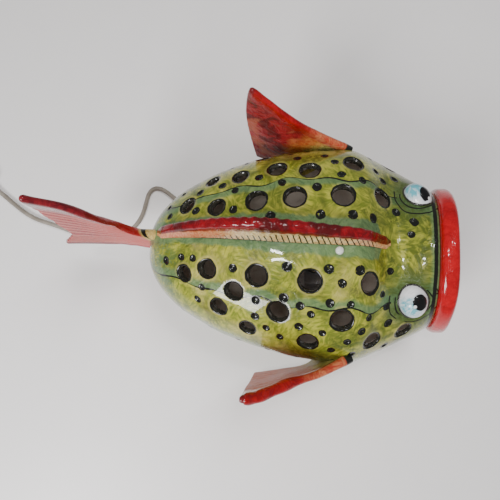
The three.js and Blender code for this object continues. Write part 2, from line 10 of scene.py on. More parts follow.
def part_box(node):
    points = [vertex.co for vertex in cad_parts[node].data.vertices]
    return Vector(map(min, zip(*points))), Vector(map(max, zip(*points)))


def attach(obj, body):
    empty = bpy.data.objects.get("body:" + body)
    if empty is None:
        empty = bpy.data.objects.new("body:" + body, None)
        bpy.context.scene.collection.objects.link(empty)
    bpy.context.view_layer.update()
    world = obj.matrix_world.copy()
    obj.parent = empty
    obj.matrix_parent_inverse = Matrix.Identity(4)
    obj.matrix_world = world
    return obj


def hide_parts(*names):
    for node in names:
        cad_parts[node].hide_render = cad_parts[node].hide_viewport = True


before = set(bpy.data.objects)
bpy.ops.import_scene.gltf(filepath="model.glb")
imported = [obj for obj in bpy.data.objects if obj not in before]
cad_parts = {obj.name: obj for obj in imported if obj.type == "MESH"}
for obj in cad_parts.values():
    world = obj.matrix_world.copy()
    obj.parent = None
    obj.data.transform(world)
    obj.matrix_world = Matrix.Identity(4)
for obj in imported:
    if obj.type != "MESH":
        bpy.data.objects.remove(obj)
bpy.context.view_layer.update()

mm = 0.001

# The fish is drawn in millimetres on its own zero, and the bulb stands on bulbAxis.
bulbAxis = (73.0, 0.0, 0.0)
bulbLow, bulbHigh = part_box("bulb_cap")
fishShift = np.array([(bulbLow[k] + bulbHigh[k]) / 2 / mm - bulbAxis[k] for k in (0, 1)] + [0.0])


def toRow(points):
    return (np.asarray(points, float) + fishShift) * mm


def smoothStep(t):
    t = np.clip(t, 0.0, 1.0)
    return t * t * (3 - 2 * t)


def signedPower(v, p):
    return np.sign(v) * np.abs(v) ** p


def softMax(a, b, k):
    return b + k * np.logaddexp(0.0, (a - b) / k)


def unit(v):
    return v / np.maximum(np.linalg.norm(v, axis=-1, keepdims=True), 1e-9)


# Camera, floor and light
print("camera, floor and light")

cameraSetup = {"place": (0.0, -68.5, 474.0), "lean": 10.0, "roll": 1.9, "lens": 28.8}

# The small lamps are the ones whose reflections show; the wide panel only fills.
overFish = (0.0, 0.0, 0.1)
lightSetup = {
    "lamps": {
        "window": {"place": (-0.46, -0.68, 0.72), "aim": (0.0, -0.04, 0.12), "size": (0.40, 0.34),
                   "power": 10.5},
        "tube_a": {"place": (-0.37, 0.07, 1.7), "aim": overFish, "size": (0.05, 0.20), "power": 3.0},
        "tube_b": {"place": (-0.37, -0.09, 1.7), "aim": overFish, "size": (0.05, 0.20), "power": 3.0},
        "spot_a": {"place": (0.20, 0.34, 1.5), "aim": overFish, "size": (0.06, 0.06), "power": 0.8},
        "spot_b": {"place": (0.42, 0.30, 1.5), "aim": overFish, "size": (0.06, 0.06), "power": 0.8},
        "panel": {"place": (0.35, 0.45, 1.4), "aim": overFish, "size": (0.6, 0.6), "power": 9.0,
                  "shines": False},
    },
    "worldTint": (1.0, 0.985, 0.97, 1.0),
    "worldLevel": 0.22,
}


def makeCamera():
    data = bpy.data.cameras.new("camera")
    data.lens = cameraSetup["lens"]
    data.sensor_width = 36.0
    data.clip_start = 0.01
    camera = bpy.data.objects.new("camera", data)
    bpy.context.scene.collection.objects.link(camera)
    lean = Matrix.Rotation(math.radians(cameraSetup["lean"]), 4, "X")
    roll = Matrix.Rotation(math.radians(cameraSetup["roll"]), 4, "Z")
    place = Matrix.Translation(toRow(cameraSetup["place"]).tolist())
    camera.matrix_world = place @ lean @ roll
    bpy.context.scene.camera = camera


def makeLight(name, setup):
    data = bpy.data.lights.new(name, "AREA")
    data.shape = "RECTANGLE"
    data.size, data.size_y = setup["size"]
    data.energy = setup["power"]
    light = bpy.data.objects.new(name, data)
    bpy.context.scene.collection.objects.link(light)
    place = Vector(setup["place"])
    light.location = place
    light.visible_glossy = setup.get("shines", True)
    light.rotation_mode = "QUATERNION"
    light.rotation_quaternion = (Vector(setup["aim"]) - place).to_track_quat("-Z", "Y")


def makeWorld():
    world = bpy.data.worlds.new("studio")
    world.use_nodes = True
    background = world.node_tree.nodes["Background"]
    background.inputs["Color"].default_value = lightSetup["worldTint"]
    background.inputs["Strength"].default_value = lightSetup["worldLevel"]
    bpy.context.scene.world = world


makeCamera()
for lightName, setup in lightSetup["lamps"].items():
    makeLight(lightName, setup)
makeWorld()


# Small tools for node materials

def addNode(tree, kind, inputs=None, **settings):
    node = tree.nodes.new(kind)
    for key, value in settings.items():
        setattr(node, key, value)
    for key, value in (inputs or {}).items():
        if isinstance(value, bpy.types.NodeSocket):
            tree.links.new(value, node.inputs[key])
        else:
            node.inputs[key].default_value = value
    return node


def calc(tree, operation, a, b=0.0, c=None):
    inputs = {0: a, 1: b}
    if c is not None:
        inputs[2] = c
    return addNode(tree, "ShaderNodeMath", inputs, operation=operation).outputs[0]


def times(tree, a, b):
    return calc(tree, "MULTIPLY", a, b)


def nudge(tree, wobble, amount, value):
    # moves the edge of a painted shape about by a noise
    return calc(tree, "MULTIPLY_ADD", wobble, amount, value)


def spread(tree, value, low, high, toLow=0.0, toHigh=1.0):
    inputs = {"Value": value, "From Min": low, "From Max": high, "To Min": toLow, "To Max": toHigh}
    node = addNode(tree, "ShaderNodeMapRange", inputs, interpolation_type="SMOOTHSTEP")
    return node.outputs[0]


def fade(tree, value, low, high):
    return spread(tree, value, low, high, 1.0, 0.0)


def between(tree, value, start, full, falling, end):
    # one inside a band and nothing outside it, with soft edges
    return times(tree, spread(tree, value, start, full), fade(tree, value, falling, end))


def blendColour(tree, amount, a, b):
    return addNode(tree, "ShaderNodeMix", {0: amount, 6: a, 7: b}, data_type="RGBA").outputs[2]


def rgb(r, g, b):
    return (r, g, b, 1.0)


def twoTone(tree, amount, paints, name):
    # each paint that is brushed unevenly has a dark and a light tone
    return blendColour(tree, amount, rgb(*paints[name + "Dark"]), rgb(*paints[name]))


def attribute(tree, name):
    return addNode(tree, "ShaderNodeAttribute", attribute_name=name).outputs["Fac"]


def noiseValue(tree, place, scale, detail=3.0, roughness=0.55, distortion=0.0):
    inputs = {"Vector": place, "Scale": scale, "Detail": detail, "Roughness": roughness,
              "Distortion": distortion}
    return addNode(tree, "ShaderNodeTexNoise", inputs).outputs["Fac"]


def newMaterial(name, **fixed):
    material = bpy.data.materials.new(name)
    material.use_nodes = True
    shader = material.node_tree.nodes["Principled BSDF"]
    for key, value in fixed.items():
        shader.inputs[key.replace("_", " ")].default_value = value
    return material, material.node_tree, shader


def objectPlace(tree):
    return addNode(tree, "ShaderNodeTexCoord").outputs["Object"]


def link(tree, socket, shader, name):
    tree.links.new(socket, shader.inputs[name])


def bump(tree, height, distance, shader):
    node = addNode(tree, "ShaderNodeBump", {"Height": height, "Distance": distance})
    tree.links.new(node.outputs["Normal"], shader.inputs["Normal"])


# Shared effects

def makeGroup(name, inputs, outputs):
    group = bpy.data.node_groups.new(name, "ShaderNodeTree")
    for label, kind, value in inputs:
        socket = group.interface.new_socket(label, in_out="INPUT", socket_type=kind)
        socket.default_value = value
    for label, kind in outputs:
        group.interface.new_socket(label, in_out="OUTPUT", socket_type=kind)
    start = group.nodes.new("NodeGroupInput")
    end = group.nodes.new("NodeGroupOutput")
    return group, start, end


def brushGroup():
    # overlapping strokes in patches, each patch with a direction of its own
    group, start, end = makeGroup("brushwork", [
        ("Size", "NodeSocketFloat", 1.0),
        ("Seed", "NodeSocketFloat", 0.0),
    ], [("Stroke", "NodeSocketFloat"), ("Pool", "NodeSocketFloat"), ("Height", "NodeSocketFloat")])
    place = objectPlace(group)
    moved = addNode(group, "ShaderNodeVectorMath", {0: place, 1: start.outputs["Seed"]}, operation="ADD")
    moved = moved.outputs[0]
    scale = calc(group, "DIVIDE", 1.0, start.outputs["Size"])
    patches = addNode(group, "ShaderNodeTexVoronoi", {
        "Vector": moved, "Scale": times(group, scale, 62.0), "Randomness": 1.0})
    turn = addNode(group, "ShaderNodeSeparateColor", {"Color": patches.outputs["Color"]})
    angle = times(group, turn.outputs[0], 6.28)
    turned = addNode(group, "ShaderNodeVectorRotate", {
        "Vector": moved, "Axis": (0.2, 0.3, 0.93), "Angle": angle}, rotation_type="AXIS_ANGLE")
    squeezed = addNode(group, "ShaderNodeMapping", {
        "Vector": turned.outputs[0], "Scale": (1.0, 3.8, 1.3)})
    hairs = noiseValue(group, squeezed.outputs[0], times(group, scale, 105.0), 4.0, 0.55, 0.6)
    wash = noiseValue(group, moved, times(group, scale, 45.0), 4.0, 0.6, 0.8)
    edge = addNode(group, "ShaderNodeTexVoronoi", {
        "Vector": moved, "Scale": times(group, scale, 62.0), "Randomness": 1.0},
        feature="DISTANCE_TO_EDGE")
    overlap = fade(group, edge.outputs["Distance"], 0.0, 0.16)
    stroke = calc(group, "ADD", times(group, hairs, 0.65), times(group, wash, 0.35))
    pool = times(group, overlap, spread(group, wash, 0.35, 0.65))
    height = calc(group, "ADD", hairs, times(group, overlap, 0.3))
    group.links.new(spread(group, stroke, 0.38, 0.62), end.inputs["Stroke"])
    group.links.new(pool, end.inputs["Pool"])
    group.links.new(height, end.inputs["Height"])
    return group


def speckGroup():
    # pinholes and grains of colour in the glaze
    group, start, end = makeGroup("glaze specks", [
        ("Amount", "NodeSocketFloat", 0.3),
    ], [("Mask", "NodeSocketFloat"), ("Height", "NodeSocketFloat")])
    place = objectPlace(group)
    cells = addNode(group, "ShaderNodeTexVoronoi", {"Vector": place, "Scale": 420.0})
    sizes = addNode(group, "ShaderNodeSeparateColor", {"Color": cells.outputs["Color"]})
    chosen = calc(group, "LESS_THAN", sizes.outputs[0], start.outputs["Amount"])
    dot = fade(group, cells.outputs["Distance"], 0.10, 0.26)
    mask = times(group, chosen, dot)
    group.links.new(mask, end.inputs["Mask"])
    group.links.new(times(group, mask, -1.0), end.inputs["Height"])
    return group


brushwork = brushGroup()
glazeSpecks = speckGroup()


def useGroup(tree, group, **values):
    node = tree.nodes.new("ShaderNodeGroup")
    node.node_tree = group
    for key, value in values.items():
        node.inputs[key].default_value = value
    return node.outputs


def makeMesh(name, points, faces, materials, faceSlots=None, attributes=None, body="lamp"):
    mesh = bpy.data.meshes.new(name)
    mesh.from_pydata(toRow(points).tolist(), [], [list(f) for f in faces])
    for material in materials:
        mesh.materials.append(material)
    if faceSlots is not None:
        mesh.polygons.foreach_set("material_index", np.asarray(faceSlots, np.int32))
    mesh.polygons.foreach_set("use_smooth", np.full(len(mesh.polygons), True))
    for key, values in (attributes or {}).items():
        layer = mesh.attributes.new(key, "FLOAT", "POINT")
        layer.data.foreach_set("value", np.asarray(values, np.float32))
    mesh.update()
    piece = bpy.data.objects.new(name, mesh)
    bpy.context.scene.collection.objects.link(piece)
    if body:
        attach(piece, body)
    return piece


# The floor
floorSettings = {"half": 3000.0, "whiteDark": (0.91, 0.885, 0.88), "white": (0.94, 0.915, 0.91)}


def makeFloor():
    material, tree, shader = newMaterial("table", Roughness=0.4)
    grain = noiseValue(tree, objectPlace(tree), 30.0, 4.0)
    link(tree, twoTone(tree, grain, floorSettings, "white"), shader, "Base Color")
    half = floorSettings["half"]
    corners = [(-half, -half, 0), (half, -half, 0), (half, half, 0), (-half, half, 0)]
    floor = makeMesh("floor", corners, [(0, 1, 2, 3)], [material], body=None)


makeFloor()


# The cord
print("cord")

cordSettings = {
    "diameter": 5.0,
    "exit": (-58.0, 44.0, 38.0),
    "way": (-0.5, 0.45, -0.74),
    "start": 0.3,
    "sleeve": 24.4,
    "switchStart": (-317.0, 83.0),
    "switchWay": (-0.81, 0.586),
    "switchLength": 58.0,
    "switchMiddleHeight": 5.5,
    "coilCentre": (-354.0, 40.0),
    "coilRadii": (33.7, 28.0, 22.3),
    "coilRise": 5.3,
    "coilSteps": 16,
    "plugFace": (-356.4, -32.0, 6.7),
    "length": 1.8,
    "greyDark": (0.235, 0.205, 0.170),
    "grey": (0.325, 0.285, 0.240),
}
cordHeight = cordSettings["diameter"] / 2 + 0.1


def cordExitPoint(distance):
    way = unit(np.array(cordSettings["way"]))
    return tuple(np.array(cordSettings["exit"]) + way * distance)


def coilTurns():
    # three turns inwards on the table, then three outwards on top of them
    radii = cordSettings["coilRadii"]
    cx, cy = cordSettings["coilCentre"]
    plan = [(r, 0) for r in radii] + [(r, 1) for r in radii[::-1]]
    steps = cordSettings["coilSteps"]
    points = []
    total = len(plan) * steps
    for k in range(1, total + 3):
        turn = k / steps
        now = min(int(turn), len(plan) - 1)
        ahead = min(now + 1, len(plan) - 1)
        share = smoothStep((turn - now - 0.7) / 0.3) if turn < len(plan) else 0.0
        radius = plan[now][0] + (plan[ahead][0] - plan[now][0]) * share
        layer = plan[now][1] + (plan[ahead][1] - plan[now][1]) * share
        if k < 4:
            radius += (4 - k) * 1.4  # the first turn eases in
        angle = math.pi + 2 * math.pi * turn
        points.append((cx + radius * math.cos(angle), cy + radius * math.sin(angle),
                       cordHeight + layer * cordSettings["coilRise"]))
    return points


def cordRoute():
    h = cordHeight
    leaving = [cordExitPoint(d) for d in (cordSettings["start"], 12.0, cordSettings["sleeve"], 34.0)]
    run = [(-80.5, 64, 7.6), (-89.5, 71.5, 3.5), (-99, 79.5, h), (-109, 86.5, h), (-119, 88.5, h),
           (-126, 82, h), (-128.5, 69, h), (-131, 55, h), (-137, 42, h), (-146, 32, h), (-161, 25.5, h),
           (-182, 23, h), (-204, 26, h), (-223, 33, h), (-243, 39, h), (-261, 44, h), (-277, 53, h),
           (-293, 65, h), (-309, 77, h)]
    way = unit(np.array([*cordSettings["switchWay"], 0.0]))
    start = np.array([*cordSettings["switchStart"], cordSettings["switchMiddleHeight"]])
    middle = [tuple(start + way * d) for d in (1.0, 20.0, 40.0, cordSettings["switchLength"])]
    after = [(-377, 125, 3.6), (-390, 128.5, h), (-401, 122, h), (-405, 108, h), (-403, 92, h),
             (-398.5, 76, h), (-394.5, 60, h), (-393.2, 46, h)]
    toPlug = [(-347, 0, 5.0), (-338, -1.5, h), (-331, -8, h), (-329.5, -18, h), (-335, -27, 3.4),
              (-344, -31.5, 5.6), (-350, -32, 6.6), (-356.2, -32, 6.7)]
    return leaving + run + middle + after + coilTurns() + toPlug


def cordMaterial():
    material, tree, shader = newMaterial("grey cord", Roughness=0.42)
    place = objectPlace(tree)
    dust = noiseValue(tree, place, 60.0, 4.0)
    scuff = noiseValue(tree, place, 900.0, 2.0)
    link(tree, twoTone(tree, spread(tree, dust, 0.35, 0.7), cordSettings, "grey"), shader, "Base Color")
    link(tree, spread(tree, dust, 0.3, 0.7, 0.36, 0.5), shader, "Roughness")
    bump(tree, scuff, 0.0001, shader)
    return material


greyCord = cordMaterial()


def makeTube(name, points, diameter, material, roundness=4, closed=False):
    # a round tube along a smooth line, or a closed loop straight through its points
    curve = bpy.data.curves.new(name, "CURVE")
    curve.dimensions = "3D"
    curve.bevel_depth = diameter / 2 * mm
    curve.bevel_resolution = roundness
    curve.resolution_u = 6
    curve.use_fill_caps = not closed
    spline = curve.splines.new("POLY" if closed else "NURBS")
    spline.points.add(len(points) - 1)
    for target, p in zip(spline.points, toRow(points)):
        target.co = (*p, 1.0)
    spline.use_cyclic_u = closed
    if not closed:
        spline.order_u = 3
        spline.use_endpoint_u = True
    curve.materials.append(material)
    tube = bpy.data.objects.new(name, curve)
    bpy.context.scene.collection.objects.link(tube)
    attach(tube, "lamp")
    return tube


def makeCord():
    cord = makeTube("mains_cord", cordRoute(), cordSettings["diameter"], greyCord, 5)
    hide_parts("cord", "cord_after_switch", "cord_coil", "cord_to_plug")
    return cord


mainsCord = makeCord()


# The body
print("body")

bodyShape = {
    "tailEnd": -100.0, "belly": 88.0, "neck": 175.0, "axisHeight": 80.0,
    "halfWidth": 106.0, "up": 72.0, "down": 90.0, "wall": 6.0, "neckTilt": 14.0,
    "footHeight": 3.0, "flangeTop": 10.0, "footCentre": bulbAxis[0], "footOpening": (44.0, 37.0),
    "spacing": 2.4, "aroundRadius": 92.0, "rimRound": 1.1, "edgeDrop": 0.9, "glazeInset": 0.5,
    "unevenness": 0.6, "headTurn": 2.6,
}

# Each row: side (1 left, -1 right), angle up the flank, and holes as (station, diameter[, angle])
holeRows = [
    (1, 70, [(-59, 14, 60), (-31, 14), (4, 17), (37, 18), (78, 19), (119, 16, 66)]),
    (1, 47, [(-37, 12, 40), (-11, 14), (22, 16), (51, 17, 52), (91, 17)]),
    (1, 21, [(10, 14), (71, 16), (134, 15), (158, 11)]),
    (-1, 72, [(-58, 13, 65), (-37, 15), (6, 17), (50, 18), (102, 17)]),
    (-1, 53, [(-26, 14, 46), (-13, 15, 61), (25, 17), (78, 18)]),
    (-1, 35, [(0, 13), (52, 16), (111, 16), (146, 13, 32)]),
]

# Painted dimples, listed the same way
dimpleRows = [
    (1, 80, [(-50, 6, 69), (-16, 6, 74), (16, 7), (58, 7), (85, 7), (106, 7), (134, 6, 72), (149, 5, 84),
             (152, 6, 76)]),
    (1, 60, [(-76, 5, 63), (-15, 5), (26, 6), (56, 7, 65), (78, 6, 57), (97, 6), (122, 6, 52)]),
    (1, 46, [(-78, 5), (-48, 6, 50), (-27, 6, 52), (6, 6, 53), (74, 6), (115, 6), (136, 6, 43)]),
    (1, 32, [(-65, 5, 37), (41, 6, 38), (66, 6, 38), (-20, 5, 25), (-6, 5, 27), (36, 5, 27), (52, 5, 25),
             (98, 6, 22), (113, 6, 27)]),
    (-1, 78, [(-76, 6, 72), (-61, 5), (-50, 5), (-14, 6, 75), (31, 7), (65, 7), (91, 7), (127, 5),
              (76, 6, 72)]),
    (-1, 62, [(-41, 5, 58), (6, 7, 58), (29, 7), (43, 6, 59), (67, 6), (84, 5), (118, 5, 66),
              (124, 5, 58)]),
    (-1, 46, [(-45, 5), (6, 6, 47), (43, 6), (52, 5, 55), (63, 5, 44), (97, 6), (103, 5, 54), (128, 6)]),
    (-1, 36, [(16, 5, 40), (28, 5, 35), (85, 5, 39), (73, 5, 31), (92, 6, 27), (128, 6, 22)]),
]
# the lower flanks, where the dabs thin out
for flank in (1, -1):
    dimpleRows.append((flank, 8, [(x, 5 + x % 3) for x in range(-62, 150, 27)]))
    dimpleRows.append((flank, -10, [(x, 5 + x % 2) for x in range(-48, 140, 31)]))

eyeShapes = {
    "left_eye": {"centre": (149.5, 45.5, 127.0), "size": (11.0, 14.0, 12.0), "turn": 35.0,
                 "pupilWay": (0.24, 0.08, 0.97), "pupilSize": (5.6, 6.8), "glintWay": (0.50, -0.26, 0.84),
                 "blueWay": (-0.55, 0.40, 0.70)},
    "right_eye": {"centre": (141.5, -46.5, 128.0), "size": (12.3, 15.2, 12.5), "turn": 0.0,
                  "pupilWay": (0.17, -0.22, 0.96), "pupilSize": (7.0, 7.0), "glintWay": (-0.20, -0.50, 0.85),
                  "blueWay": (-0.50, -0.60, 0.62)},
}


def bodySection(x, skin=0.0):
    shape = bodyShape
    length = shape["belly"] - shape["tailEnd"]
    s = np.clip((x - shape["tailEnd"] + skin) / (length + skin), 0.0, 1.0)
    roundSide = (1 - (1 - s) ** 1.6) ** (1 / 2.2)
    roundBack = (1 - (1 - s) ** 1.9) ** (1 / 2.1)
    t = np.clip((x - shape["belly"]) / (shape["neck"] - shape["belly"]), 0.0, 1.0)
    front = x > shape["belly"]
    saddle = 14 * np.sin(np.pi * t) ** 2
    half = np.where(front, shape["halfWidth"] - 40 * t ** 1.4 + skin,
                    (shape["halfWidth"] + skin) * roundSide)
    up = np.where(front, shape["up"] - 8 * t - saddle + skin, (shape["up"] + skin) * roundBack)
    down = np.where(front, shape["down"] - 26 * t ** 1.4 + skin, (shape["down"] + skin) * roundSide)
    height = shape["axisHeight"] + 3 * t
    tilt = math.radians(shape["neckTilt"]) * smoothStep(t)
    return half, up, down, height, tilt


def turnHead(points):
    # the maker set the head a little to the right of the body's line
    points = np.asarray(points, float)
    reach = points[..., 0] - bodyShape["belly"]
    ahead = smoothStep(reach / (bodyShape["neck"] - bodyShape["belly"]))
    swing = math.tan(math.radians(bodyShape["headTurn"]))
    moved = np.array(points)
    moved[..., 0] += points[..., 1] * swing * ahead
    moved[..., 1] -= np.clip(reach, 0, None) * swing * ahead
    return moved


def bodyPoint(x, angle, skin=0.0):
    # inside the wall the stations behind the belly close up towards it, so the wall stays even
    x = np.asarray(x, float)
    angle = np.asarray(angle, float)
    shape = bodyShape
    length = shape["belly"] - shape["tailEnd"]
    back = shape["belly"] - (shape["belly"] - x) * (length + skin) / length
    x = np.where(x < shape["belly"], back, x)
    half, up, down, height, tilt = bodySection(x, skin)
    c, s = np.cos(angle), np.sin(angle)
    y = half * signedPower(c, 2 / 2.2)
    rise = np.where(s > 0, up, down) * signedPower(s, 2 / 2.2)
    floor = shape["footHeight"] if skin == 0 else shape["flangeTop"]
    z = softMax(height + rise * np.cos(tilt), floor, 1.6)
    return turnHead(np.stack([x - rise * np.sin(tilt), y, z], -1))


def bodySlopes(x, angle):
    alongX = (bodyPoint(x + 0.5, angle) - bodyPoint(x - 0.5, angle))
    around = (bodyPoint(x, angle + 0.01) - bodyPoint(x, angle - 0.01)) / 0.02
    return alongX, around


def bodyNormal(x, angle):
    alongX, around = bodySlopes(x, angle)
    return unit(np.cross(around, alongX))


def spotList(rows):
    spots = []
    for side, rowAngle, entries in rows:
        for entry in entries:
            angle = entry[2] if len(entry) > 2 else rowAngle
            turn = math.radians(angle if side > 0 else -180 - angle)
            alongX, around = bodySlopes(float(entry[0]), turn)
            spots.append({"x": float(entry[0]), "turn": turn, "radius": entry[1] / 2,
                          "perX": np.linalg.norm(alongX), "perTurn": np.linalg.norm(around)})
    return spots


holes = spotList(holeRows)
dimples = spotList(dimpleRows)


def spotGap(spot, x, turn):
    reach = np.hypot((x - spot["x"]) * spot["perX"], (turn - spot["turn"]) * spot["perTurn"])
    return reach - spot["radius"]


def nearestGap(spots, x, turn):
    gaps = np.full(np.shape(x), 1e3)
    for spot in spots:
        gaps = np.minimum(gaps, spotGap(spot, x, turn))
    return gaps


def footGap(x, turn):
    point = bodyPoint(x, turn)
    halfX, halfY = bodyShape["footOpening"]
    reach = np.hypot((point[..., 0] - bodyShape["footCentre"]) / halfX, point[..., 1] / halfY)
    low = np.sin(turn) < -0.5
    return np.where(low, (reach - 1) * (halfX + halfY) / 2, 1e3)


def lumps(x, turn):
    # the hand-built wall is never quite even
    slow = 0.55 * np.sin(x / 17.0 + 1.3) * np.sin(2 * turn + 0.5)
    middling = 0.4 * np.sin(x / 9.5 + 0.4) * np.cos(5 * turn)
    quick = 0.25 * np.sin(x / 5.3 + 2.0 * np.sin(3 * turn))
    return bodyShape["unevenness"] * (slow + middling + quick)


class bodyChart:
    # a flat chart of the skin: stations stretched to true length, and turns round the flank
    def __init__(self):
        self.stations = bodyShape["tailEnd"] + 0.4 + np.linspace(0, 1, 4000) ** 1.6 * (
            bodyShape["neck"] - bodyShape["tailEnd"] - 0.4)
        half = bodySection(self.stations)[0]
        steps = np.hypot(np.diff(self.stations), np.diff(half))
        self.lengths = np.concatenate([[0.0], np.cumsum(steps)])

    def across(self, x):
        return np.interp(x, self.stations, self.lengths)

    def station(self, across):
        return np.interp(across, self.lengths, self.stations)


def ringOfSpot(spot, radius, count):
    a = np.linspace(0, 2 * np.pi, count, endpoint=False)
    x = spot["x"] + radius * np.cos(a) / spot["perX"]
    return x, spot["turn"] + radius * np.sin(a) / spot["perTurn"]


def ringOfFoot(grow, count=90):
    a = np.linspace(0, 2 * np.pi, count, endpoint=False)
    halfX, halfY = (v + grow for v in bodyShape["footOpening"])
    x = bodyShape["footCentre"] + halfX * np.cos(a)
    y = halfY * np.sin(a)
    half = bodySection(x)[0]
    turn = np.arccos(np.clip(np.abs(y) / half, 0, 1) ** 1.1)
    return x, np.where(y > 0, -turn, turn - np.pi)


def chartBody():
    chart = bodyChart()
    scale = bodyShape["aroundRadius"]
    top, bottom = math.radians(90), math.radians(-270)
    rowCount = int(chart.lengths[-1] / bodyShape["spacing"]) + 1
    columnCount = int(2 * np.pi * scale / bodyShape["spacing"]) + 1
    rows = np.linspace(0, chart.lengths[-1], rowCount)
    columns = np.linspace(bottom, top, columnCount)
    gridRow, gridColumn = (g.ravel() for g in np.meshgrid(rows, columns, indexing="ij"))
    x = chart.station(gridRow)
    clear = np.ones(len(x), bool)
    rim = bodyShape["rimRound"]
    clear &= nearestGap(holes, x, gridColumn) > rim + 1.0
    clear &= nearestGap(dimples, x, gridColumn) > 1.3
    clear &= footGap(x, gridColumn) > 2.2
    points = [np.stack([gridRow[clear], gridColumn[clear] * scale], -1)]
    edges = []
    count = len(points[0])

    def addRing(ring):
        nonlocal count
        ringX, ringTurn = ring
        size = len(ringX)
        points.append(np.stack([chart.across(ringX), ringTurn * scale], -1))
        edges.extend((count + k, count + (k + 1) % size) for k in range(size))
        count += size

    for spot in holes:
        size = int(2 * np.pi * spot["radius"] / 1.5)
        for grow in (0.0, 0.35, rim):
            addRing(ringOfSpot(spot, spot["radius"] + grow, size))
    for spot in dimples:
        size = int(2 * np.pi * spot["radius"] / 1.4)
        for share in (1.18, 1.0, 0.7, 0.35):
            addRing(ringOfSpot(spot, spot["radius"] * share, max(8, int(size * min(1, share + 0.2)))))
    for grow in (0.0, 0.5, 1.4):
        addRing(ringOfFoot(grow))
    flat = [Vector(p) for p in np.concatenate(points)]
    result = delaunay_2d_cdt(flat, edges, [], 0, 1e-5, False)
    place = np.array([(p[0], p[1]) for p in result[0]])
    triangles = np.array([f for f in result[2] if len(f) == 3])
    return chart.station(place[:, 0]), place[:, 1] / scale, triangles


def lateralTurn(x, side):
    # the painted line along the flank, as an angle, wandering as a brush does
    start, low = (-93.0, 16.0) if side < 0 else (-90.0, 26.0)
    turn = 58.5 - low * np.exp(-(x - start) / 13.0) + 1.3 * np.sin(x / 6.1) + 1.0 * np.sin(x / 10.7 + 1.0)
    return np.radians(turn + (2.5 * smoothStep((x - 20) / 90) if side > 0 else 0.0))


# The ridge along the back, whose line the body's paint follows too
ridgeSettings = {"from": -88.0, "to": 127.0, "height": 27.0, "stations": 210, "scallop": 9.5,
                 "lean": (9.0, 1.0)}


def ridgeLean(x):
    setup = ridgeSettings
    rear, front = setup["lean"]
    t = np.clip((x - setup["from"]) / (setup["to"] - setup["from"]), 0, 1)
    return rear - (rear - front) * smoothStep(t)


